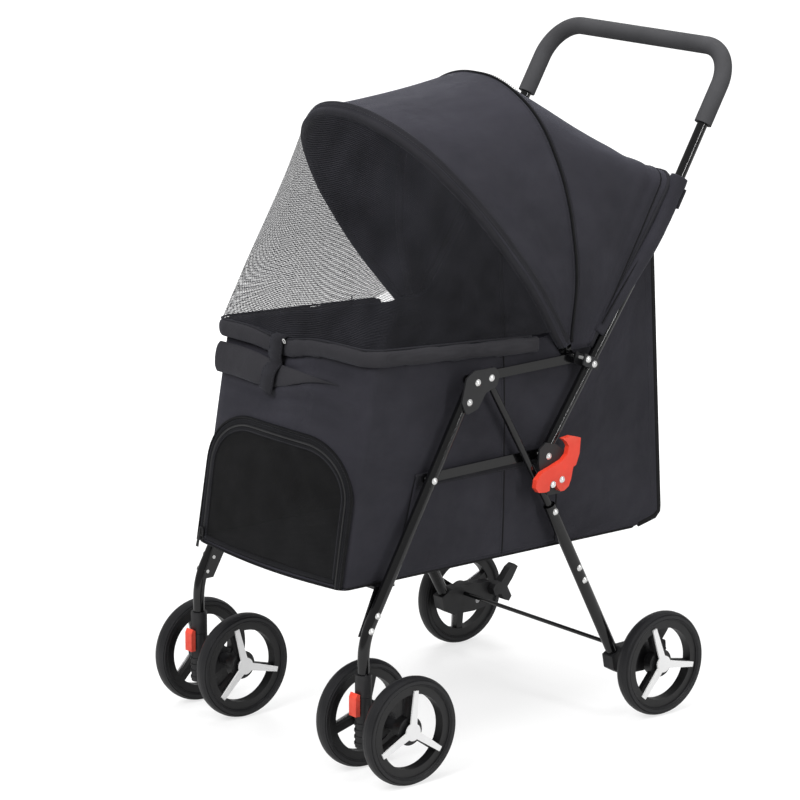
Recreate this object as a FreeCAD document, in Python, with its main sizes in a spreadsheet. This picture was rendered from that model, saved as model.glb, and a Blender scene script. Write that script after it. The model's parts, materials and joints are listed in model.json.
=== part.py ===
"""Folding pet stroller: tube frame, fabric cabin with a zipped door, hood on two bows, six wheels.

Units are millimetres. X is across, the front faces -Y, Z is up. The sizes below are written in a
construction frame whose Y zero lies just ahead of the upper hinge; every piece is then moved back
by origin_y, so that the model stands on Z 0 with its origin under the middle of its box.
Angles are in degrees. "side" is +1 for the +X half, named right as seen from the front, and -1 for left.
"""
import FreeCAD, Part
import math
import os
import Sketcher
from FreeCAD import Placement, Rotation, Vector

doc = FreeCAD.newDocument("pet_stroller")
sheet = doc.addObject("Spreadsheet::Sheet", "sizes")
nodes = []


class Q:
    """A number together with the sheet expression that gives it."""

    def __init__(self, value, text):
        self.value = float(value)
        self.text = text

    def __add__(self, other):
        other = quantity(other)
        return Q(self.value + other.value, "(" + self.text + " + " + other.text + ")")

    def __sub__(self, other):
        other = quantity(other)
        return Q(self.value - other.value, "(" + self.text + " - " + other.text + ")")

    def __mul__(self, other):
        other = quantity(other)
        return Q(self.value * other.value, "(" + self.text + " * " + other.text + ")")

    def __truediv__(self, other):
        other = quantity(other)
        return Q(self.value / other.value, "(" + self.text + " / " + other.text + ")")

    def __radd__(self, other):
        return quantity(other) + self

    def __rsub__(self, other):
        return quantity(other) - self

    def __rmul__(self, other):
        return quantity(other) * self

    def __neg__(self):
        return quantity(0) - self


def quantity(value):
    if isinstance(value, Q):
        return value
    return Q(value, "(" + format(float(value), ".6f") + ")")


def root(value):
    return Q(math.sqrt(value.value), "sqrt(" + value.text + ")")


def larger(first, second):
    return Q(max(first.value, second.value), "max(" + first.text + "; " + second.text + ")")


def size(alias, value):
    row = str(size.row)
    sheet.set("A" + row, alias)
    sheet.set("B" + row, str(value))
    sheet.setAlias("B" + row, alias)
    size.row = size.row + 1
    return Q(value, "sizes." + alias)


size.row = 1

# Whole object.
origin_y = size("origin_y", 153.45)
running_gap = size("running_gap", 0.08)
loose_gap = size("loose_gap", 0.3)
# Tubes.
leg_d = size("leg_d", 16)
rear_leg_d = size("rear_leg_d", 17)
strut_d = size("strut_d", 10)
handle_d = size("handle_d", 15)
tube_wall = size("tube_wall", 1.2)
grip_d = size("grip_d", 25)
bow_d = size("bow_d", 7)
# Side layers, measured from the middle plane.
bag_half = size("bag_half", 164)
side_room = size("side_room", 10.6)
layer_gap = size("layer_gap", 1.1)
link_t = size("link_t", 2.8)
plate_t = size("plate_t", 3)
latch_t = size("latch_t", 8)
# Front leg.
kingpin_y = size("kingpin_y", -164)
socket_top = size("socket_top", 149)
leg_seat = size("leg_seat", 140)
leg_bend_z = size("leg_bend_z", 195)
leg_bend_r = size("leg_bend_r", 100)
leg_top_past = size("leg_top_past", 5.5)
# Pivots of the folding frame.
upper_pivot_y = size("upper_pivot_y", 22)
upper_pivot_z = size("upper_pivot_z", 522)
pivot_spacing = size("pivot_spacing", 144)
link_run = size("link_run", 198)
link_rise = size("link_rise", 4)
link_w = size("link_w", 13)
rear_pivot_y = size("rear_pivot_y", 46)
rear_pivot_z = size("rear_pivot_z", 525)
joint_y = size("joint_y", 165)
joint_z = size("joint_z", 319)
foot_y = size("foot_y", 281)
foot_z = size("foot_z", 96)
pin_r = size("pin_r", 2.5)
head_r = size("head_r", 4.8)
# Handle.
handle_bend_y = size("handle_bend_y", 350)
handle_bend_z = size("handle_bend_z", 686)
handle_bend_r = size("handle_bend_r", 400)
handle_top_y = size("handle_top_y", 493)
handle_top_z = size("handle_top_z", 927)
handle_corner_r = size("handle_corner_r", 56)
grip_end_y = size("grip_end_y", 435)
grip_end_z = size("grip_end_z", 829)
# Latch.
latch_y = size("latch_y", 166)
latch_z = size("latch_z", 367)
catch_y = size("catch_y", 150)
catch_z = size("catch_z", 362.5)
# Wheels.
wheel_r = size("wheel_r", 75)
tyre_w = size("tyre_w", 22)
rim_r = size("rim_r", 63)
rim_open_r = size("rim_open_r", 52)
rim_out = size("rim_out", 7)
rim_in = size("rim_in", 8)
hub_r = size("hub_r", 20)
hub_in = size("hub_in", 11.5)
axle_r = size("axle_r", 5)
cover_t = size("cover_t", 2.5)
cover_hub_r = size("cover_hub_r", 12)
cover_reach = size("cover_reach", 57)
caster_trail = size("caster_trail", 38)
twin_half = size("twin_half", 50)
rear_axle_y = size("rear_axle_y", 341)
rear_wheel_gap = size("rear_wheel_gap", 11.5)
housing_r = size("housing_r", 11.5)
swivel_z = size("swivel_z", 118)
kingpin_r = size("kingpin_r", 4)
# Feet, cross rod and brakes.
foot_w = size("foot_w", 21)
foot_offset = size("foot_offset", 0.5)
rod_y = size("rod_y", 315)
rod_z = size("rod_z", 90)
rod_d = size("rod_d", 6)
brake_y = size("brake_y", 367)
brake_z = size("brake_z", 89)
pedal_w = size("pedal_w", 13)
# Cabin.
panel_t = size("panel_t", 3)
floor_z = size("floor_z", 262.3)
floor_t = size("floor_t", 5)
bag_front_y = size("bag_front_y", -181)
front_lean = size("front_lean", 9.6)
front_high = size("front_high", 308)
front_lap = size("front_lap", 14)
rim_z = size("rim_z", 569)
rim_half_h = size("rim_half_h", 15)
rim_half_t = size("rim_half_t", 7)
rim_end_y = size("rim_end_y", 138)
rim_corner_r = size("rim_corner_r", 24)
bag_rear_y = size("bag_rear_y", 389)
bag_rear_high_y = size("bag_rear_high_y", 366)
bag_rear_top_y = size("bag_rear_top_y", 380)
bag_rear_top_z = size("bag_rear_top_z", 738)
door_half = size("door_half", 150)
door_high = size("door_high", 174)
door_sill = size("door_sill", 4)
door_corner_r = size("door_corner_r", 58)
# Hood.
bow_pivot_y = size("bow_pivot_y", 208)
bow_pivot_z = size("bow_pivot_z", 524)
front_bow_len = size("front_bow_len", 432)
front_bow_tilt = size("front_bow_tilt", 52.6)
mid_bow_len = size("mid_bow_len", 371)
mid_bow_tilt = size("mid_bow_tilt", 86)
bow_foot_room = size("bow_foot_room", 6.8)
bow_bulge = size("bow_bulge", 26)
bow_foot = size("bow_foot", 34)
cloth_t = size("cloth_t", 2)

# Layers from the cabin outward: link bars, a gap, the side tubes, then plates and latches.
widest_tube = larger(larger(leg_d, rear_leg_d), handle_d)
link_inner = bag_half + side_room
frame_half = link_inner + link_t + layer_gap + widest_tube / 2
plate_in = frame_half + widest_tube / 2 + 0.4
lock_in = plate_in
latch_in = lock_in + plate_t + loose_gap
foot_in = frame_half - foot_w / 2 + foot_offset
foot_out = foot_in + foot_w
rear_wheel_x = foot_out + rear_wheel_gap + hub_in
bow_foot_x = bag_half + bow_foot_room
bow_wide = bag_half + bow_bulge
# The leg's straight run goes from its bend through the upper pivot; the lower pivot lies on it.
leg_rise_y = upper_pivot_y - kingpin_y
leg_rise_z = upper_pivot_z - leg_bend_z
leg_run = root(leg_rise_y * leg_rise_y + leg_rise_z * leg_rise_z)
leg_cos = leg_rise_y / leg_run
leg_sin = leg_rise_z / leg_run
leg_top_y = upper_pivot_y + leg_cos * leg_top_past
leg_top_z = upper_pivot_z + leg_sin * leg_top_past
lower_pivot_y = upper_pivot_y - leg_cos * pivot_spacing
lower_pivot_z = upper_pivot_z - leg_sin * pivot_spacing
# The handle's pivots follow from the two equal links of the parallelogram.
handle_pivot_y = upper_pivot_y + link_run
handle_pivot_z = upper_pivot_z + link_rise
handle_low_y = lower_pivot_y + link_run
handle_low_z = lower_pivot_z + link_rise
axle_bore = axle_r + running_gap
hole_r = pin_r + running_gap
doc.recompute()


def bind(obj, prop, value):
    obj.setExpression(prop, quantity(value).text)


def place(obj, x, y, z, rotation=None):
    """Set a placement by expressions; rotation is fixed."""
    x = quantity(x)
    y = quantity(y)
    z = quantity(z)
    if rotation is None:
        rotation = Rotation()
    obj.Placement = Placement(Vector(x.value, y.value, z.value), rotation)
    bind(obj, "Placement.Base.x", x)
    bind(obj, "Placement.Base.y", y)
    bind(obj, "Placement.Base.z", z)


def node(obj, label, x=0, y=0, z=0, rotation=None):
    """Make an object a finished piece: name it and move it into the model's frame."""
    obj.Label = label
    place(obj, x, quantity(y) - origin_y, z, rotation)
    nodes.append(obj)
    return obj


def origin_plane(body, role):
    for feature in body.Origin.OriginFeatures:
        if feature.Role == role:
            return feature
    raise RuntimeError(role)


def fix(sketch, kind, geo, point, value, name):
    """Hold one coordinate of a point at a sheet value."""
    value = quantity(value)
    index = sketch.addConstraint(Sketcher.Constraint(kind, -1, 1, geo, point, value.value))
    sketch.renameConstraint(index, name)
    bind(sketch, "Constraints." + name, value)


def polygon_sketch(body, name, role, points, circles=()):
    """A closed polygon with circular holes, each point and radius bound to the sheet."""
    sketch = body.newObject("Sketcher::SketchObject", name)
    sketch.AttachmentSupport = [(origin_plane(body, role), "")]
    sketch.MapMode = "FlatFace"
    corners = [Vector(quantity(p[0]).value, quantity(p[1]).value, 0) for p in points]
    count = len(corners)
    for i in range(count):
        sketch.addGeometry(Part.LineSegment(corners[i], corners[(i + 1) % count]), False)
    for i in range(count):
        sketch.addConstraint(Sketcher.Constraint("Coincident", i, 2, (i + 1) % count, 1))
    for i in range(count):
        fix(sketch, "DistanceX", i, 1, points[i][0], "px" + str(i))
        fix(sketch, "DistanceY", i, 1, points[i][1], "py" + str(i))
    for k, (cx, cy, radius) in enumerate(circles):
        centre = Vector(quantity(cx).value, quantity(cy).value, 0)
        circle = Part.Circle(centre, Vector(0, 0, 1), quantity(radius).value)
        geo = sketch.addGeometry(circle, False)
        fix(sketch, "DistanceX", geo, 3, cx, "cx" + str(k))
        fix(sketch, "DistanceY", geo, 3, cy, "cy" + str(k))
        index = sketch.addConstraint(Sketcher.Constraint("Radius", geo, quantity(radius).value))
        sketch.renameConstraint(index, "cr" + str(k))
        bind(sketch, "Constraints.cr" + str(k), radius)
    return sketch


def pad(body, sketch, length, name):
    feature = body.newObject("PartDesign::Pad", name)
    feature.Profile = sketch
    feature.Length = quantity(length).value
    bind(feature, "Length", length)
    return feature


def corner_edges(feature, direction, places):
    """Names of the edges along a direction that pass through the given points of the sketch."""
    names = []
    for i, edge in enumerate(feature.Shape.Edges):
        if edge.Curve.TypeId != "Part::GeomLine":
            continue
        if abs(abs(edge.Curve.Direction.dot(direction)) - 1) > 1e-6:
            continue
        for point in places:
            foot = edge.CenterOfMass - point
            foot = foot - direction * foot.dot(direction)
            if foot.Length < 0.01:
                names.append("Edge" + str(i + 1))
    return names


def round_corners(body, base, direction, places, radius, name):
    doc.recompute()
    feature = body.newObject("PartDesign::Fillet", name)
    feature.Base = (base, corner_edges(base, direction, places))
    feature.Radius = quantity(radius).value
    bind(feature, "Radius", radius)
    return feature


def plate(name, points, thick, holes=(), rounded=(), radius=3):
    """A plate in the side plane, growing along +X from X 0. rounded lists corner numbers."""
    body = doc.addObject("PartDesign::Body", name)
    sketch = polygon_sketch(body, name + "_outline", "YZ_Plane", points, holes)
    last = pad(body, sketch, thick, name + "_pad")
    if rounded:
        places = [Vector(0, quantity(points[i][0]).value, quantity(points[i][1]).value) for i in rounded]
        last = round_corners(body, last, Vector(1, 0, 0), places, radius, name + "_rounding")
    return body


def side_x(side, inner, thick):
    """Where a plate that grows along +X starts, for either half."""
    if side > 0:
        return quantity(inner)
    return -(quantity(inner) + thick)


def cylinder(name, radius, length, x, y, z, axis):
    """A cylinder from a start point along X, Y or Z (or a minus axis)."""
    obj = doc.addObject("Part::Cylinder", name)
    bind(obj, "Radius", radius)
    bind(obj, "Height", length)
    place(obj, x, y, z, Rotation(Vector(0, 0, 1), axis))
    return obj


def fuse(name, shapes):
    if len(shapes) == 1:
        return shapes[0]
    obj = doc.addObject("Part::MultiFuse", name)
    obj.Shapes = shapes
    return obj


def cut(name, base, tool):
    obj = doc.addObject("Part::Cut", name)
    obj.Base = base
    obj.Tool = tool
    return obj


def rounded_wire(points, radii):
    """Straight runs joined by tangent arcs. radii has one entry per inner point."""
    edges = []
    start = points[0]
    for i in range(1, len(points) - 1):
        before = (points[i] - points[i - 1]).normalize()
        after = (points[i + 1] - points[i]).normalize()
        turn = before.getAngle(after)
        reach = radii[i - 1] * math.tan(turn / 2)
        enter = points[i] - before * reach
        leave = points[i] + after * reach
        inward = (after - before).normalize()
        middle = points[i] + inward * (radii[i - 1] / math.cos(turn / 2) - radii[i - 1])
        if (enter - start).Length > 1e-6:
            edges.append(Part.LineSegment(start, enter).toShape())
        edges.append(Part.Arc(enter, middle, leave).toShape())
        start = leave
    edges.append(Part.LineSegment(start, points[-1]).toShape())
    return Part.Wire(edges)


def widest_radii(points, share=0.45):
    """The largest arcs that the runs of a path allow."""
    radii = []
    for i in range(1, len(points) - 1):
        run = min((points[i] - points[i - 1]).Length, (points[i + 1] - points[i]).Length)
        turn = (points[i] - points[i - 1]).getAngle(points[i + 1] - points[i])
        radii.append(share * run / math.tan(turn / 2))
    return radii


def path_object(name, wire):
    obj = doc.addObject("Part::Feature", name)
    obj.Shape = wire
    return obj


def sweep(name, path, diameter, minor=None):
    """Sweep a circle, or an ellipse whose long axis is upright, along a path object."""
    first = path.Shape.OrderedEdges[0]
    start = first.valueAt(first.FirstParameter)
    along = first.tangentAt(first.FirstParameter)
    if minor is None:
        section = doc.addObject("Part::Circle", name + "_section")
        bind(section, "Radius", quantity(diameter) / 2)
        section.Placement = Placement(start, Rotation(Vector(0, 0, 1), along))
    else:
        section = doc.addObject("Part::Ellipse", name + "_section")
        bind(section, "MajorRadius", diameter)
        bind(section, "MinorRadius", minor)
        upright = Rotation(Vector(0, 0, 1), Vector(0, 0, 1).cross(along), along, "ZXY")
        section.Placement = Placement(start, upright)
    obj = doc.addObject("Part::Sweep", name)
    obj.Sections = [section]
    obj.Spine = (path, ["Edge" + str(i + 1) for i in range(len(path.Shape.Edges))])
    obj.Solid = True
    obj.Frenet = False
    return obj


def tube(name, points, radii, diameter, wall, pins=()):
    """A round tube along a path. pins lists (y, z) cross holes through its side walls."""
    corners = [Vector(*[quantity(c).value for c in p]) for p in points]
    bends = [quantity(r).value for r in radii]
    path = path_object(name + "_path", rounded_wire(corners, bends))
    outer = sweep(name + "_outer", path, diameter)
    inner = sweep(name + "_inner", path, quantity(diameter) - quantity(wall) * 2)
    shape = cut(name + "_hollow", outer, inner)
    if pins:
        tools = []
        for k, (y, z) in enumerate(pins):
            start = -quantity(diameter)
            tools.append(cylinder(name + "_hole" + str(k), hole_r, quantity(diameter) * 2,
                                  start, y, z, Vector(1, 0, 0)))
        shape = cut(name + "_drilled", shape, fuse(name + "_holes", tools))
    return shape


def rivet(name, side, y, z, inner, outer):
    """A domed rivet across a side, with its head just outside the outer face."""
    axis = Vector(side, 0, 0)
    start = quantity(inner) * side
    length = quantity(outer) - inner + 0.3
    shank = cylinder(name + "_shank", pin_r, length, start, y, z, axis)
    dome = doc.addObject("Part::Sphere", name + "_head")
    bind(dome, "Radius", head_r * 1.236068)
    dome.Angle1 = 36
    dome.Angle2 = 90
    seat = (quantity(outer) + 0.1 - head_r * 0.726543) * side
    place(dome, seat, y, z, Rotation(Vector(0, 0, 1), axis))
    return fuse(name, [shank, dome])


def half_name(side):
    if side > 0:
        return "right"
    return "left"


# ---------------------------------------------------------------- front frame


def on_leg(down):
    """A point on the leg's straight run, at a distance below the upper pivot."""
    return (upper_pivot_y - leg_cos * down, upper_pivot_z - leg_sin * down)


bracket_pin = on_leg(29)
brace_pins = [on_leg(339), on_leg(361)]
leg_pins = [(upper_pivot_y, upper_pivot_z), bracket_pin, (lower_pivot_y, lower_pivot_z)] + brace_pins
leg_points = [(0, kingpin_y, leg_seat), (0, kingpin_y, leg_bend_z), (0, leg_top_y, leg_top_z)]
for side in (1, -1):
    name = "front_leg_" + half_name(side)
    node(tube(name, leg_points, [leg_bend_r], leg_d, tube_wall, leg_pins), name, frame_half * side)

bracket_offsets = [
    (-20, -42), (-28, -24), (-20, 8), (-6, 17), (30, 17),
    (38, 6), (33, -9), (14, -16), (0, -36),
]
bracket_outline = [(upper_pivot_y + y, upper_pivot_z + z) for y, z in bracket_offsets]
bracket_holes = [
    (upper_pivot_y, upper_pivot_z, hole_r),
    (rear_pivot_y, rear_pivot_z, hole_r),
    bracket_pin + (hole_r,),
]
brackets = []
for side in (1, -1):
    name = "bracket_" + half_name(side)
    part = plate(name, bracket_outline, plate_t, bracket_holes, (0, 1, 3, 4, 5, 6, 8), 5)
    place(part, side_x(side, plate_in, plate_t), 0, 0)
    brackets.append(part)
node(fuse("hinge_brackets", brackets), "hinge_brackets")

# The cross brace is a flat bar under the floor with an arm down to each front leg.
arm_in = frame_half - leg_d / 2 - 0.4 - plate_t
foot_pin = brace_pins[1]
arm_outline = [(foot_pin[0] - 8, foot_pin[1] - 10), (foot_pin[0] + 10, foot_pin[1] - 10),
               (foot_pin[0] + 34, foot_pin[1] + 32), (foot_pin[0] + 52, floor_z - 0.3),
               (foot_pin[0] + 20, floor_z - 0.3)]
arm_holes = [pin + (hole_r,) for pin in brace_pins]
arms = []
for side in (1, -1):
    arm = plate("brace_arm_" + half_name(side), arm_outline, plate_t, arm_holes)
    place(arm, side_x(side, arm_in, plate_t), 0, 0)
    arms.append(arm)
bar = doc.addObject("Part::Box", "brace_bar")
bind(bar, "Length", (arm_in + plate_t) * 2)
bind(bar, "Width", 32)
bind(bar, "Height", 4)
place(bar, -(arm_in + plate_t), foot_pin[0] + 20, floor_z - 0.3 - 4)
node(fuse("front_cross_brace", arms + [bar]), "front_cross_brace")

sockets = []
for side in (1, -1):
    tag = "socket_" + half_name(side)
    x = frame_half * side
    outer = cylinder(tag + "_outer", housing_r, socket_top - swivel_z - 0.5, x, kingpin_y, swivel_z + 0.5,
                     Vector(0, 0, 1))
    seat = cylinder(tag + "_seat", leg_d / 2 + running_gap, 40, x, kingpin_y, leg_seat, Vector(0, 0, 1))
    bore = cylinder(tag + "_bore", kingpin_r + running_gap, 40, x, kingpin_y, leg_seat - 39, Vector(0, 0, 1))
    sockets.append(cut(tag, outer, fuse(tag + "_bores", [seat, bore])))
node(fuse("caster_sockets", sockets), "caster_sockets")

rivets = []
tube_face = frame_half + leg_d / 2
for side in (1, -1):
    tag = "frame_rivet_" + half_name(side)
    rivets.append(rivet(tag + "_a", side, upper_pivot_y, upper_pivot_z, link_inner - 1, plate_in + plate_t))
    strut_face = frame_half - strut_d / 2 - 1
    leg_side = frame_half - leg_d / 2
    rivets.append(rivet(tag + "_b", side, rear_pivot_y, rear_pivot_z, strut_face, plate_in + plate_t))
    rivets.append(rivet(tag + "_c", side, bracket_pin[0], bracket_pin[1], leg_side, plate_in + plate_t))
    rivets.append(rivet(tag + "_d", side, lower_pivot_y, lower_pivot_z, link_inner - 1, tube_face))
    for k, (y, z) in enumerate(brace_pins):
        rivets.append(rivet(tag + "_e" + str(k), side, y, z, arm_in - 1, tube_face))
node(fuse("frame_rivets", rivets), "frame_rivets")

# ---------------------------------------------------------------- cabin
# Side panel outline: floor, sloping front, mouth, handle line, tall rear edge.
front_top_y = bag_front_y + front_high * math.sin(math.radians(front_lean.value))
front_top_z = floor_z + front_high * math.cos(math.radians(front_lean.value))
side_outline = [
    (bag_front_y, floor_z),
    (bag_rear_y - 48, floor_z),
    (bag_rear_y - 13, floor_z + 11),
    (bag_rear_y, floor_z + 28),
    (bag_rear_high_y, bag_rear_top_z - 66),
    (bag_rear_top_y, bag_rear_top_z),
    (handle_bend_y + 2, handle_bend_z + 24),
    (handle_pivot_y + 12, handle_pivot_z + 22),
    (rim_end_y + 34, front_top_z - 6),
    (front_top_y + 40, front_top_z),
    (front_top_y - 1.5, rim_z - rim_half_h - 1.5),
]
for side in (1, -1):
    name = "bag_" + half_name(side) + "_panel"
    panel = plate(name, side_outline, panel_t)
    node(panel, name, side_x(side, bag_half - panel_t, panel_t))

inside_half = bag_half - panel_t - loose_gap
floor_outline = [
    (bag_front_y + panel_t + 3, floor_z),
    (bag_rear_y - 54, floor_z),
    (bag_rear_y - 54, floor_z + floor_t),
    (bag_front_y + panel_t + 3, floor_z + floor_t),
]
floor = plate("bag_floor", floor_outline, inside_half * 2)
node(floor, "bag_floor", -inside_half)

rear_outline = [
    (bag_rear_y - 52, floor_z),
    (bag_rear_y - 48, floor_z),
    (bag_rear_y - 13, floor_z + 11),
    (bag_rear_y, floor_z + 28),
    (bag_rear_high_y, bag_rear_top_z - 66),
    (bag_rear_top_y, bag_rear_top_z),
    (bag_rear_top_y - panel_t, bag_rear_top_z),
    (bag_rear_high_y - panel_t, bag_rear_top_z - 66),
    (bag_rear_y - panel_t, floor_z + 30),
    (bag_rear_y - 15, floor_z + 14),
    (bag_rear_y - 52, floor_z + panel_t),
]
node(plate("bag_rear_panel", rear_outline, inside_half * 2), "bag_rear_panel", -inside_half)


def door_shape(name, gap, thick):
    """The door's outline with rounded top corners, grown by a gap all round but at the sill."""
    half = door_half + gap
    body = doc.addObject("PartDesign::Body", name)
    points = [(-half, door_sill - gap), (half, door_sill - gap),
              (half, door_sill + door_high + gap), (-half, door_sill + door_high + gap)]
    outline = polygon_sketch(body, name + "_outline", "XZ_Plane", points)
    base = pad(body, outline, thick, name + "_pad")
    high = (door_sill + door_high + gap).value
    places = [Vector(quantity(half).value, 0, high), Vector(-quantity(half).value, 0, high)]
    round_corners(body, base, Vector(0, 1, 0), places, door_corner_r + gap, name + "_rounding")
    return body


lean = Rotation(Vector(1, 0, 0), -front_lean.value)
front_body = doc.addObject("PartDesign::Body", "front_sheet")
front_points = [
    (-inside_half, 0),
    (inside_half, 0),
    (inside_half, front_high - front_lap),
    (-inside_half, front_high - front_lap),
]
front_outline = polygon_sketch(front_body, "front_sheet_outline", "XZ_Plane", front_points)
pad(front_body, front_outline, panel_t, "front_sheet_pad")
door_gap = door_shape("door_gap", loose_gap + 0.5, panel_t)
front_y = bag_front_y + panel_t
node(cut("bag_front_panel", front_body, door_gap), "bag_front_panel", 0, front_y, floor_z + 0.6, lean)
node(door_shape("front_door", quantity(0), panel_t), "front_door", 0, front_y, floor_z + 0.6, lean)

rim_x = bag_half + loose_gap + rim_half_t
rim_front_y = front_top_y - rim_half_t - 1.5
rim_corners = [
    Vector(rim_x.value, rim_end_y.value, rim_z.value),
    Vector(rim_x.value, rim_front_y.value, rim_z.value),
    Vector(-rim_x.value, rim_front_y.value, rim_z.value),
    Vector(-rim_x.value, rim_end_y.value, rim_z.value),
]
rim_path = path_object("rim_path", rounded_wire(rim_corners, [rim_corner_r.value] * 2))
node(sweep("rim_sleeve", rim_path, rim_half_h, rim_half_t), "rim_sleeve")

pocket_outline = [(-96, floor_z + 6), (190, floor_z + 6), (190, 402), (-60, 402)]
pockets = []
for side in (1, -1):
    pocket = plate("pocket_" + half_name(side), pocket_outline, 1.4)
    place(pocket, side_x(side, bag_half + loose_gap, quantity(1.4)), 0, 0)
    pockets.append(pocket)
node(fuse("side_pockets", pockets), "side_pockets")

# ---------------------------------------------------------------- hood
eye_in = bag_half + loose_gap + 2 + loose_gap
eye_t = quantity(2.6)
hinge_outline = [(bow_pivot_y - 34, bow_pivot_z - 9), (bow_pivot_y + 10, bow_pivot_z - 11),
                 (bow_pivot_y + 10, bow_pivot_z + 11), (bow_pivot_y - 34, bow_pivot_z + 15)]
hinges = []
for side in (1, -1):
    tag = "bow_hinge_" + half_name(side)
    base = plate(tag + "_plate", hinge_outline, quantity(2), (), (0, 1, 2, 3), 6)
    place(base, side_x(side, bag_half + loose_gap, quantity(2)), 0, 0)
    outward = Vector(side, 0, 0)
    pin_long = eye_t * 2 + loose_gap + 2.2
    pivot = cylinder(tag + "_pin", pin_r, pin_long, (eye_in - 1) * side, bow_pivot_y, bow_pivot_z, outward)
    hinges.append(fuse(tag, [base, pivot]))
node(fuse("canopy_hinges", hinges), "canopy_hinges")


def bow_profile(length):
    """Half of a bow, as (across, out from the pivot), from its foot to the middle of its top."""
    return [(bow_foot_x.value, bow_foot.value), (bow_wide.value + 1, length * 0.33),
            (bow_wide.value - 13, length * 0.64), (bow_wide.value * 0.67, length * 0.885),
            (bow_wide.value * 0.25, length + 1)]


def bow_wire(length):
    """The bow's line in its own plane, across in X and out from the pivot in Y."""
    half = bow_profile(length)
    flat = [Vector(x, r, 0) for x, r in half] + [Vector(-x, r, 0) for x, r in reversed(half)]
    return rounded_wire(flat, widest_radii(flat))


def stand(point, tilt):
    """Turn a point of a bow's plane into the side view at a tilt above the forward level."""
    angle = math.radians(tilt)
    along = point.y * math.cos(angle)
    up_by = point.y * math.sin(angle)
    return Vector(point.x, bow_pivot_y.value - along, bow_pivot_z.value + up_by)


def stand_wire(wire, tilt):
    turn = Rotation(Vector(1, 0, 0), Vector(0, -math.cos(math.radians(tilt)), math.sin(math.radians(tilt))),
                    Vector(0, 0, 0), "XYZ")
    copy = wire.copy()
    copy.Placement = Placement(Vector(0, bow_pivot_y.value, bow_pivot_z.value), turn)
    return copy


def bow(name, length, tilt, layer):
    """A bent rod with a flat eye at each foot; layer 0 is the inner eye, 1 the outer one."""
    bow_path = path_object(name + "_path", stand_wire(bow_wire(length.value), tilt.value))
    rod = sweep(name + "_rod", bow_path, bow_d)
    pieces = [rod]
    inner = eye_in + (eye_t + loose_gap) * layer
    for side in (1, -1):
        tag = name + "_eye_" + half_name(side)
        body = doc.addObject("PartDesign::Body", tag)
        reach = bow_foot + 3
        eye_points = [(-6, -4), (-4, -6), (4, -6), (6, -4), (5, reach), (-5, reach)]
        outline = polygon_sketch(body, tag + "_outline", "YZ_Plane", eye_points, [(0, 0, hole_r)])
        pad(body, outline, eye_t, tag + "_pad")
        place(body, side_x(side, inner, eye_t), bow_pivot_y, bow_pivot_z,
              Rotation(Vector(1, 0, 0), 90 - tilt.value))
        pieces.append(body)
    return fuse(name, pieces)


node(bow("mid_bow", mid_bow_len, mid_bow_tilt, 1), "mid_bow")
node(bow("front_bow", front_bow_len, front_bow_tilt, 0), "front_bow")


def spaced(points, count):
    """The same line with evenly spaced points."""
    steps = [0.0]
    for a, b in zip(points, points[1:]):
        steps.append(steps[-1] + (b - a).Length)
    result = []
    for k in range(count):
        want = steps[-1] * k / (count - 1)
        i = 0
        while i < len(points) - 2 and steps[i + 1] < want:
            i = i + 1
        part = (want - steps[i]) / (steps[i + 1] - steps[i])
        result.append(points[i] + (points[i + 1] - points[i]) * part)
    return result


def ribbon(points, near, far):
    """A closed strip beside a flat line: offsets near and far, outward of an arch."""
    outer = []
    inner = []
    for i, point in enumerate(points):
        along = points[min(i + 1, len(points) - 1)] - points[max(i - 1, 0)]
        out = Vector(along.y, -along.x, 0).normalize()
        outer.append(point + out * far)
        inner.append(point + out * near)
    return outer + list(reversed(inner))


def closed_wire(name, points):
    return path_object(name, Part.makePolygon(points + [points[0]]))


def cloth(name, first, second):
    obj = doc.addObject("Part::Loft", name)
    obj.Sections = [closed_wire(name + "_a", first), closed_wire(name + "_b", second)]
    obj.Solid = True
    obj.Ruled = True
    return obj


stations = 41
cloth_near = bow_d.value / 2 + 2.3
cloth_far = cloth_near + cloth_t.value


def bow_ribbon(length, tilt, lowest):
    line = [p for p in bow_wire(length.value).discretize(240) if p.y >= lowest]
    return [stand(p, tilt.value) for p in ribbon(spaced(line, stations), cloth_near, cloth_far)]


mesh_top = rim_z.value + rim_half_h.value + 0.4
rim_flat = [Vector(p.x, p.y, 0) for p in rim_path.Shape.discretize(240)]
rim_stations = [Vector(p.x, -p.y, 0) for p in spaced(rim_flat, stations)]
rim_ribbon = [Vector(p.x, p.y, mesh_top) for p in ribbon(rim_stations, -1, 1)]
rim_ribbon = [Vector(p.x, -p.y, p.z) for p in rim_ribbon]
mesh_low = (mesh_top - bow_pivot_z.value) / math.sin(math.radians(front_bow_tilt.value)) + 6
front_ribbon = bow_ribbon(front_bow_len, front_bow_tilt, mesh_low)
node(cloth("canopy_front_mesh", front_ribbon, rim_ribbon), "canopy_front_mesh")
node(cloth("canopy_mid_panel", bow_ribbon(front_bow_len, front_bow_tilt + 0.6, 46),
           bow_ribbon(mid_bow_len, mid_bow_tilt - 0.3, 46)), "canopy_mid_panel")

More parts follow.
